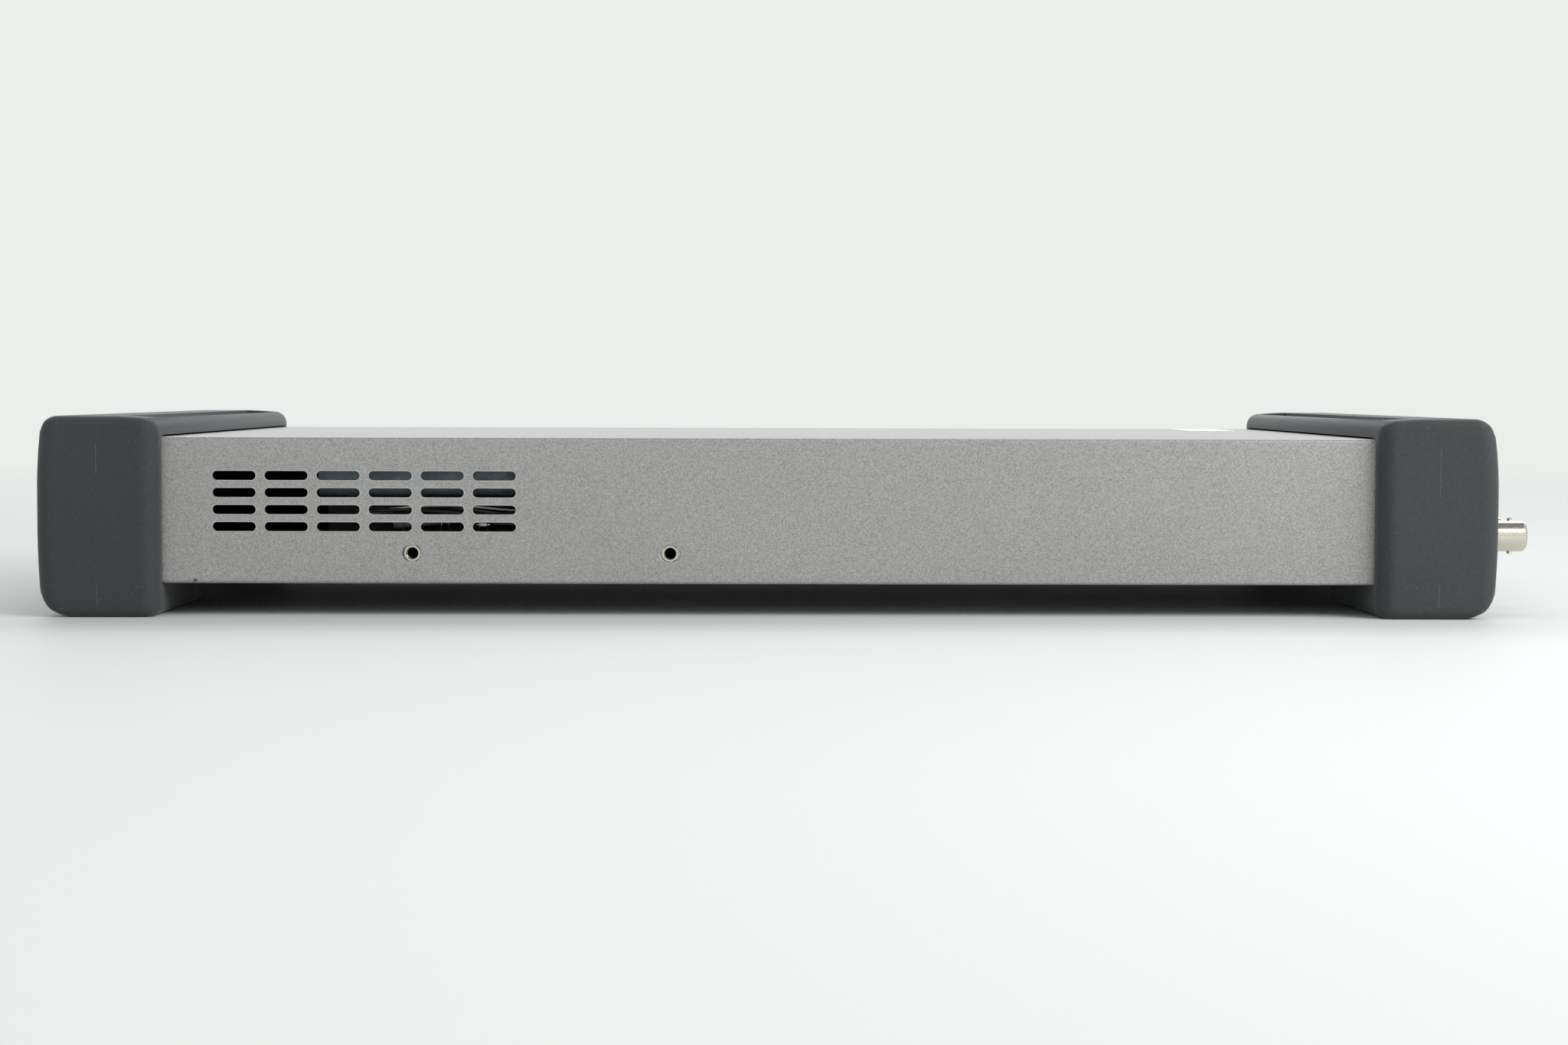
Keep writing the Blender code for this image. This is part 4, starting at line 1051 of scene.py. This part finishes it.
# ------------------------------------------------------------------ connectors
@dataclass
class Coaxial:
    """A bayonet coaxial connector: barrel with two lugs, nut, insulator and contact.

    Attributes:
        node: CAD node of the shell.
        facing: The way its mouth looks.
        barrel: Radius of the barrel.
        lug_back: From the mouth to the middle of the lugs.
    """

    node: str
    facing: Facing
    barrel: float = 4.83 * MM
    bore: float = 4.05 * MM
    lug_back: float = 4.3 * MM
    lug_radius: float = 0.82 * MM
    lug_height: float = 0.68 * MM
    floor: float = 11.0 * MM

    def build(self) -> None:
        """Make the shell, its lugs, the nut and what is inside the mouth."""
        box = Box.of(self.node)
        front = self.facing is Facing.FRONT
        tip_y = box.low.y if front else box.high.y
        length = box.size.y
        place = self.facing.at(box.centre.x, tip_y, box.centre.z)
        collar = 2.6 * MM + 8.5 * MM - length
        shell = Form(place)
        profile = [(0.0, -self.floor), (self.bore, -self.floor), (self.bore, -0.35 * MM),
                   (self.bore + 0.30 * MM, 0.0), (self.barrel - 0.62 * MM, 0.0),
                   (self.barrel - 0.12 * MM, -0.50 * MM), (self.barrel, -0.75 * MM),
                   (self.barrel, collar), (6.2 * MM, collar), (6.35 * MM, collar - 0.3 * MM),
                   (6.35 * MM, -length), (0.0, -length)]
        shell.lathe(profile, 64)
        shell.emit(f"{self.node}_shell", NICKEL, replaces=[self.node], smooth=25)
        lugs = Form(place)
        for side in (-1, 1):
            lug = Form().lathe([(0.0, -0.6 * MM), (self.lug_radius, -0.6 * MM),
                                (self.lug_radius, self.lug_height - 0.18 * MM),
                                (self.lug_radius - 0.18 * MM, self.lug_height),
                                (0.0, self.lug_height)], 20)
            turn = Matrix.Rotation(math.radians(-90 * side), 4, "X")
            lugs.add(lug, Matrix.Translation((0, side * self.barrel, -self.lug_back)) @ turn)
        lugs.emit(f"{self.node}_lugs", NICKEL, smooth=30)
        self.core(place)

    def core(self, place: Matrix) -> None:
        """White insulator with a gold socket in its middle."""
        stand_in = [f"{self.node}_insulator"] if self.facing is Facing.FRONT else []
        form = Form(place)
        top = -2.0 * MM
        form.lathe([(0.0, -self.floor + 0.3 * MM), (3.3 * MM, -self.floor + 0.3 * MM),
                    (3.3 * MM, -self.floor + 3.0 * MM), (2.45 * MM, -self.floor + 3.2 * MM),
                    (2.45 * MM, top - 0.2 * MM), (2.3 * MM, top), (1.05 * MM, top),
                    (1.05 * MM, top - 3 * MM), (0.0, top - 3 * MM)], 40)
        form.emit(f"{self.node}_dielectric", PTFE, replaces=stand_in)
        pin = Form(place)
        pin.lathe([(0.0, top - 2.9 * MM), (0.95 * MM, top - 2.9 * MM), (0.95 * MM, top - 0.5 * MM),
                   (0.8 * MM, top - 0.35 * MM), (0.5 * MM, top - 0.35 * MM),
                   (0.5 * MM, top - 2.4 * MM), (0.0, top - 2.4 * MM)], 24)
        pin.emit(f"{self.node}_socket", GOLD)


# ------------------------------------------------------------------ front panel
class Mark(Enum):
    """Generic symbols printed on the keys."""

    NONE = "none"
    POWER = "power"
    SINE = "sine"
    GEAR = "menu"
    OUTPUT = "output"
    UP = "up"
    DOWN = "down"
    LEFT = "left"
    RIGHT = "right"

    def outlines(self) -> list[list[Point]]:
        """Closed outlines of the symbol, in metres."""
        def scaled(points: Iterable[Point]) -> list[Point]:
            """Millimetres to metres."""
            return [(x * MM, y * MM) for x, y in points]
        if self is Mark.POWER:
            arc = [(1.5 * math.sin(math.radians(a)), -0.15 + 1.5 * math.cos(math.radians(a)))
                   for a in range(40, 321, 20)]
            return [ribbon_outline(scaled(arc), 0.32 * MM),
                    ribbon_outline(scaled([(0.0, 0.2), (0.0, 1.9)]), 0.32 * MM)]
        if self is Mark.SINE:
            wave = [(x / 8, 1.1 * math.sin(math.tau * x / 38)) for x in range(-19, 20)]
            return [ribbon_outline(scaled(wave), 0.30 * MM)]
        if self is Mark.GEAR:
            return [ribbon_outline(scaled([(-1.8, y), (1.8, y)]), 0.34 * MM)
                    for y in (-1.1, 0.0, 1.1)]
        if self is Mark.OUTPUT:
            arrow = [(1.2, -0.9), (2.4, 0.0), (1.2, 0.9)]
            return [ribbon_outline(scaled([(-2.2, 0.0), (1.3, 0.0)]), 0.34 * MM), scaled(arrow)]
        if self is Mark.NONE:
            return []
        turn = {Mark.UP: 0, Mark.LEFT: 90, Mark.DOWN: 180, Mark.RIGHT: 270}[self]
        angle = math.radians(turn)
        triangle = [(-1.2, -0.75), (1.2, -0.75), (0.0, 1.05)]
        return [scaled((x * math.cos(angle) - y * math.sin(angle),
                        x * math.sin(angle) + y * math.cos(angle)) for x, y in triangle)]


@dataclass
class FrontPanel:
    """Keys, display, knob and ports of the front."""

    flange: float = 1.0 * MM
    flange_reach: float = 0.6 * MM

    marks = {"power_button": Mark.POWER, "waveform_key": Mark.SINE, "utility_key": Mark.GEAR,
             "output_key": Mark.OUTPUT, "up_key": Mark.UP, "down_key": Mark.DOWN,
             "left_key": Mark.LEFT, "right_key": Mark.RIGHT}

    def build(self) -> None:
        """Make the front's pieces."""
        for index in range(1, 6):
            self.key(f"soft_key_{index}", Mark.NONE)
        for node, mark in self.marks.items():
            self.key(node, mark)
        self.display()
        self.knob()
        self.port()
        self.bezel_trim()
        Coaxial("sync_connector", Facing.FRONT).build()
        Coaxial("output_connector", Facing.FRONT).build()

    def key(self, node: str, mark: Mark) -> None:
        """One key: hidden flange, rounded cap and its printed symbol."""
        box = Box.of(node)
        place = Facing.FRONT.at(box.centre.x, box.high.y, box.centre.z)
        width, tall = box.size.x - 2 * self.flange_reach, box.size.z - 2 * self.flange_reach
        form = Form(place)
        form.prism(rounded_outline(box.size.x, box.size.z, 0.4 * MM, 3), 0, self.flange)
        form.prism(rounded_outline(width, tall, 0.9 * MM, 6), self.flange * 0.9, box.size.y,
                   edge=0.45 * MM, steps=4)
        body = f"{node}_body"
        form.emit(f"{node}_cap", POWER_CAP if mark is Mark.POWER else KEYCAP, body,
                  replaces=[node])
        outlines = mark.outlines()
        if outlines:
            print_form = Form(place)
            for outline in outlines:
                print_form.prism(outline, box.size.y - 0.02 * MM, box.size.y + 0.03 * MM)
            print_form.emit(f"{node}_symbol", PRINT if mark is not Mark.POWER else PALE_PRINT, body)

    def display(self) -> None:
        """Printed black border behind the window's face."""
        box = Box.of("display_window")
        place = Facing.FRONT.at(box.centre.x, box.low.y, box.centre.z)
        border = Form(place)
        border.prism(rounded_outline(box.size.x - 0.3 * MM, box.size.z - 0.3 * MM, 1.0 * MM),
                     0.0, 0.05 * MM)
        border.cut(Form().prism(rounded_outline(box.size.x - 9 * MM, box.size.z - 5 * MM,
                                                     0.6 * MM), -MM, MM))
        border.emit("display_border", PRINT)

    def knob(self) -> None:
        """Fluted knob with a finger dimple and a pale index line."""
        box = Box.of("adjust_knob")
        radius, height = box.size.x / 2, box.size.y
        place = Facing.FRONT.at(box.centre.x, box.high.y, box.centre.z)
        levels = ((0.0, 0.950, 0.0), (0.5, 0.985, 1.0), (height / MM - 2.6, 0.965, 1.0),
                  (height / MM - 1.4, 0.945, 0.5), (height / MM - 0.6, 0.905, 0.0),
                  (height / MM - 0.15, 0.855, 0.0), (height / MM, 0.800, 0.0))
        loops = []
        for level, share, flute in levels:
            ring = []
            for index in range(144):
                angle = math.tau * index / 144
                groove = 0.52 * MM * flute * (0.5 - 0.5 * math.cos(24 * angle)) ** 1.5
                reach = radius * share - groove
                ring.append(Vector((reach * math.cos(angle), reach * math.sin(angle), level * MM)))
            loops.append(ring)
        form = Form(place).loft(loops)
        dimple = Form()
        bmesh.ops.create_uvsphere(dimple.bm, u_segments=40, v_segments=24, radius=5.8 * MM,
                                  matrix=Matrix.Translation((0, 5.2 * MM, height + 3.8 * MM)))
        form.cut(dimple)
        form.cut(Form().prism(circle_outline(3.3 * MM), -MM, 9.0 * MM))
        form.emit("adjust_knob_grip", KNOB, "adjust_knob_body", replaces=["adjust_knob"], smooth=40)
        index_line = Form(place)
        index_line.prism(rounded_outline(0.9 * MM, 2.6 * MM, 0.44 * MM), height - 0.1 * MM,
                         height + 0.04 * MM, (0.0, -7.4 * MM))
        index_line.emit("adjust_knob_index", PALE_PRINT, "adjust_knob_body")

    def port(self) -> None:
        """The host port: bright shell, black tongue and its four contacts."""
        box = Box.of("usb_host_port")
        place = Facing.FRONT.at(box.centre.x, box.low.y, box.centre.z)
        shell = Form(place).box((box.size.x, box.size.z, box.size.y), (0, 0, -box.size.y / 2),
                                0.3 * MM)
        shell.cut(Form().box((12.5 * MM, 5.2 * MM, 12.0 * MM), (0, 0, 0)))
        shell.emit("usb_host_shell", NICKEL, replaces=["usb_host_port"], smooth=30)
        tongue = Form(place).box((11.0 * MM, 1.8 * MM, 5.7 * MM), (0, 0.6 * MM, -3.35 * MM), 0.15 * MM)
        tongue.emit("usb_host_tongue", BLACK)
        contacts = Form(place)
        for offset in (-3.5, -1.0, 1.0, 3.5):
            contacts.box((1.0 * MM, 0.12 * MM, 4.0 * MM), (offset * MM, -0.32 * MM, -3.3 * MM),
                         0.03 * MM)
        contacts.emit("usb_host_contacts", GOLD)

    def bezel_trim(self) -> None:
        """Printed marks on the bezel: a tick over each connector and a rule over the soft keys."""
        face = Box.of("front_bezel").low.y
        display = Box.of("display_window")
        form = Form(Facing.FRONT.at(0, face, 0))
        for node in ("sync_connector", "output_connector"):
            box = Box.of(node)
            form.prism(ribbon_outline([(box.centre.x - 3 * MM, box.centre.z + 9.0 * MM),
                                       (box.centre.x + 3 * MM, box.centre.z + 9.0 * MM)],
                                      0.35 * MM), -0.02 * MM, 0.03 * MM)
        for index in range(1, 6):
            box = Box.of(f"soft_key_{index}")
            form.prism(ribbon_outline([(box.centre.x, box.high.z + 0.5 * MM),
                                       (box.centre.x, display.low.z - 0.5 * MM)], 0.35 * MM),
                       -0.02 * MM, 0.03 * MM)
        form.emit("bezel_print", PALE_PRINT)


# ------------------------------------------------------------------ rear panel
@dataclass
class RearPanel:
    """Fan, jacks, earth stud and screws of the rear."""

    blades: int = 7
    screw_head: float = 2.7 * MM

    def build(self) -> None:
        """Make the rear's pieces."""
        for node in ("trigger_connector", "modulation_connector", "reference_connector"):
            Coaxial(node, Facing.REAR).build()
        self.rotor()
        self.jack()
        self.stud()
        self.screws()

    def rotor(self) -> None:
        """Domed hub and curved blades."""
        box = Box.of("fan_rotor")
        half = box.size.y / 2
        place = Facing.REAR.at(box.centre.x, box.centre.y, box.centre.z)
        hub, tip = 8.0 * MM, box.size.x / 2 - 0.1 * MM
        form = Form(place).lathe([(0.0, -half), (hub - 0.3 * MM, -half), (hub, -half + 0.3 * MM),
                                  (hub, half - 1.2 * MM), (hub - 0.9 * MM, half - 0.2 * MM),
                                  (hub - 1.6 * MM, half), (0.0, half)], 48)
        for index in range(self.blades):
            form.add(self.blade(hub - 0.5 * MM, tip, half),
                     Matrix.Rotation(math.tau * index / self.blades, 4, "Z"))
        form.emit("fan_impeller", BLACK, "fan_rotor_body", replaces=["fan_rotor"])
        cap = Form(place).prism(circle_outline(5.6 * MM, 40), half - 0.02 * MM, half + 0.05 * MM)
        cap.emit("fan_hub_label", LABEL, "fan_rotor_body")

    @staticmethod
    def blade(root: float, tip: float, half: float) -> Form:
        """One curved blade, lofted from its root to its tip."""
        loops = []
        for step in range(6):
            share = step / 5
            radius = root + (tip - root) * share
            pitch = math.radians(48 - 20 * share)
            chord = (9.0 + 3.0 * share) * MM
            upper, lower = [], []
            for part in range(7):
                t = part / 6 - 0.5
                camber = 1.3 * MM * (1 - 4 * t * t)
                across = chord * t
                thick = (0.35 + 0.35 * (1 - 4 * t * t)) * MM
                height = max(-half * 0.9, min(half * 0.9, across * math.sin(pitch)))
                angle = across * math.cos(pitch) / radius
                for target, offset in ((upper, camber + thick), (lower, camber - thick)):
                    reach = height + offset * math.cos(pitch)
                    target.append(Vector((radius * math.cos(angle), radius * math.sin(angle),
                                          max(-half * 0.97, min(half * 0.97, reach)))))
            loops.append(upper + lower[::-1])
        return Form().loft(loops)

    def jack(self) -> None:
        """Sprung contacts and two lamps in the network jack."""
        box = Box.of("lan_jack")
        place = Facing.REAR.at(box.centre.x, box.high.y, box.centre.z)
        wires = Form(place)
        for index in range(8):
            x = (index - 3.5) * 1.02 * MM
            wires.tube([Vector((x, 3.6 * MM, -1.6 * MM)), Vector((x, 2.6 * MM, -5.0 * MM)),
                        Vector((x, 1.2 * MM, -10.5 * MM))], 0.16 * MM, 8)
        wires.emit("lan_contacts", GOLD)
        for label, side, finish in (("link", -1, AMBER), ("data", 1, GREEN)):
            lamp = Form(place)
            lamp.prism(rounded_outline(2.6 * MM, 1.5 * MM, 0.2 * MM, 2), -0.4 * MM, 0.06 * MM,
                       (side * 5.6 * MM, 5.6 * MM), edge=0.05 * MM)
            lamp.emit(f"lan_{label}_lamp", finish)

    def stud(self) -> None:
        """Threaded earth stud with its hexagon nut and washer."""
        box = Box.of("ground_stud")
        height = box.size.y
        place = Facing.REAR.at(box.centre.x, box.low.y, box.centre.z)
        form = Form(place)
        profile = [(0.0, 0.0), (1.95 * MM, 0.0)]
        level = 3.1 * MM
        while level < height - 0.9 * MM:
            profile += [(1.72 * MM, level), (1.98 * MM, level + 0.25 * MM)]
            level += 0.5 * MM
        profile += [(1.75 * MM, height - 0.3 * MM), (1.5 * MM, height), (0.0, height)]
        form.lathe(profile, 32)
        form.lathe([(1.97 * MM, 0.02 * MM), (3.95 * MM, 0.02 * MM), (3.95 * MM, 0.5 * MM),
                    (1.97 * MM, 0.5 * MM)], 40, closed=True)
        hexagon = [(3.6 * MM * math.cos(math.tau * k / 6), 3.6 * MM * math.sin(math.tau * k / 6))
                   for k in range(6)]
        form.prism(hexagon, 0.55 * MM, 2.9 * MM, edge=0.25 * MM)
        form.emit("earth_stud", NICKEL, replaces=["ground_stud"], smooth=25)

    def screws(self) -> None:
        """Pan-head screws that hold the panel and the fan."""
        panel = Box.of("rear_panel")
        fan = Box.of("fan_frame")
        places = [(side * (panel.high.x - 4.2 * MM), z) for side in (-1, 1)
                  for z in (panel.low.z + 4.6 * MM, panel.high.z - 4.6 * MM)]
        reach = fan.size.x / 2 - 3.0 * MM
        places += [(fan.centre.x + sx * reach, fan.centre.z + sz * reach)
                   for sx in (-1, 1) for sz in (-1, 1)]
        form = Form()
        for x, z in places:
            form.add(pan_screw(self.screw_head), Facing.REAR.at(x, panel.high.y, z))
        form.emit("rear_panel_screws", SCREW, smooth=35)


def pan_screw(radius: float) -> Form:
    """Head of a pan screw with a cross recess, standing on local Z = 0."""
    form = Form().lathe([(0.0, -0.4 * MM), (radius * 0.6, -0.4 * MM), (radius * 0.6, 0.03 * MM),
                         (radius, 0.03 * MM), (radius, 0.45 * MM), (radius * 0.93, 0.85 * MM),
                         (radius * 0.74, 1.25 * MM), (radius * 0.42, 1.5 * MM), (0.0, 1.58 * MM)],
                        32)
    cross = Form().box((radius * 1.15, radius * 0.3, 1.6 * MM), (0, 0, 1.55 * MM))
    form.cut(cross)
    form.cut(Form().box((radius * 0.3, radius * 1.15, 1.6 * MM), (0, 0, 1.55 * MM)))
    return form


# ------------------------------------------------------------------ inside
@dataclass
class Inside:
    """What shows through the vents: folded shield, wiring, near-black sheets as painted shade and
    small parts.
    """

    sheet: float = 1.2 * MM
    flange_end: float = 35.5 * MM
    wire_height: float = 30.9 * MM

    def build(self) -> None:
        """Make the pieces behind the vents."""
        self.shield()
        self.shade_sheets()
        self.wiring()
        self.parts()

    def shield(self) -> None:
        """The supply's folded cover, its vent side rolled under at the lower edge."""
        box = Box.of("supply_shield")
        half = self.sheet / 2
        left, right, top = box.low.x + half, box.high.x - half, box.high.z - half
        line = [(right, box.low.z), (right, top - 1.5 * MM), (right - 0.5 * MM, top - 0.4 * MM),
                (right - 1.6 * MM, top), (left + 1.6 * MM, top), (left + 0.5 * MM, top - 0.4 * MM),
                (left, top - 1.5 * MM), (left, 38.2 * MM), (left + 0.35 * MM, 37.0 * MM),
                (left + 1.1 * MM, 36.1 * MM), (left + 2.4 * MM, self.flange_end),
                (left + 6.8 * MM, self.flange_end - 0.2 * MM)]
        form = Form(Facing.FRONT.at(0, box.centre.y, 0))
        form.prism(ribbon_outline(line, self.sheet), -box.size.y / 2, box.size.y / 2)
        form.emit("supply_cover", SHIELD, replaces=["supply_shield"], smooth=50)

    def shade_sheets(self) -> None:
        """Near-black sheet beside the supply, between the supply and the fan, as painted shade for the
        dark space behind the first vent columns; and a near-black insulation barrier.
        """
        fan, shield = Box.of("fan_frame"), Box.of("supply_shield")
        length = fan.low.y - shield.high.y + 8 * MM
        form = Form().box((0.8 * MM, length, shield.size.z),
                          (shield.high.x + 1.5 * MM, shield.high.y + length / 2 + 1 * MM,
                           shield.centre.z), 0.2 * MM)
        # near-black sheet: painted shade for the dark space behind the first vent columns
        form.emit("shade_sheet", FIBRE_AS_SHADE)
        barrier = Form().box((0.6 * MM, shield.size.y - 4 * MM, 15.2 * MM),
                             (shield.low.x + 6.4 * MM, shield.centre.y, 27.0 * MM), 0.15 * MM)
        # the barrier is a real part, darkened to near black as painted shade
        barrier.emit("insulation_barrier", FIBRE_AS_SHADE)

    def wiring(self) -> None:
        """Leads that run just behind the third row of vents."""
        shield = Box.of("supply_shield")
        start, end = shield.high.y - 12 * MM, shield.low.y - 4 * MM
        x = Box.of("cover_sleeve").low.x + 8.0 * MM
        # the white lead is partly a painted highlight, standing in for glints on the leads
        leads = ((BLACK, -0.6, 0.55, 1.3), (WHITE_WIRE_GLINT, 0.5, 0.28, -1.6),
                 (BLACK, 0.7, 0.5, 0.9), (WIRE, -0.5, 0.25, 2.2), (BLACK, 0.2, 0.6, -1.2))
        for index, (finish, rise, radius, swing) in enumerate(leads):
            line = []
            for step in range(8):
                share = step / 7
                line.append(Vector((x + (1.5 * index + 0.2 * math.sin(5 * share + index)) * MM,
                                    start + (end - start) * share,
                                    self.wire_height + (rise + swing * 0.5
                                                        * math.sin(7 * share + 1.7 * index)) * MM)))
            Form().tube(line, radius * MM, 12).emit(f"supply_lead_{index + 1}", finish)

    def parts(self) -> None:
        """Small upright parts and a white body near the vents, whose white is a painted highlight for
        a bright spot of light seen through the fourth vent row.
        """
        shield = Box.of("supply_shield")
        x = Box.of("cover_sleeve").low.x + 9.2 * MM
        # white body: painted highlight for a bright spot of light through the fourth vent row
        highlight_body = Form().box((2.0 * MM, 2.3 * MM, 1.0 * MM),
                             (x - 3.2 * MM, shield.low.y + 18.5 * MM, 26.7 * MM), 0.45 * MM, 4)
        highlight_body.emit("white_highlight_body", PTFE)
        legs = Form()
        middle = shield.low.y + 18.5 * MM
        for side in (-1, 1):
            legs.tube([Vector((x - 3.2 * MM, middle + side * 0.9 * MM, 26.7 * MM)),
                       Vector((x - 3.2 * MM, middle + side * 1.9 * MM, 26.5 * MM)),
                       Vector((x - 1.6 * MM, middle + side * 2.1 * MM, 24.9 * MM)),
                       Vector((x + 0.6 * MM, middle + side * 2.1 * MM, 23.6 * MM))], 0.2 * MM, 8)
        for step in range(5):
            y = shield.low.y + (6 + 11.3 * step) * MM
            legs.tube([Vector((x + 0.8 * MM, y, 24.0 * MM)), Vector((x + 0.4 * MM, y + MM, 28.2 * MM)),
                       Vector((x + 1.2 * MM, y + 2.4 * MM, 27.9 * MM)),
                       Vector((x + 1.6 * MM, y + 3.0 * MM, 24.0 * MM))], 0.13 * MM, 8)
        legs.emit("component_leads", NICKEL)
        strip = Form().box((3.0 * MM, 60 * MM, 1.6 * MM), (x + 1.4 * MM, shield.low.y + 33 * MM,
                                                         23.4 * MM), 0.1 * MM)
        strip.emit("supply_board_edge", LAMINATE)


# ------------------------------------------------------------------ assembly
def build(frame: dict) -> None:
    """Make every visual piece round the frame."""
    dress_nodes(frame)
    sleeve_box = Box.of("cover_sleeve")
    Sleeve().build()
    Bumper("rear_bumper", 1).build(sleeve_box)
    Bumper("front_bumper", -1, crest_edge=6.0 * MM, crest_belly=2.0 * MM,
           seam_runs=((3.0 * MM, 10.5 * MM), (36.0 * MM, 51.0 * MM))).build(sleeve_box)
    FrontPanel().build()
    RearPanel().build()
    Inside().build()


def main() -> None:
    """Load the frame, build the pieces and the studio."""
    logging.basicConfig(level=logging.INFO, format="%(message)s")
    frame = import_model()
    build(frame)
    Camera().build()
    Studio().build()


if __name__ == "__main__":
    main()
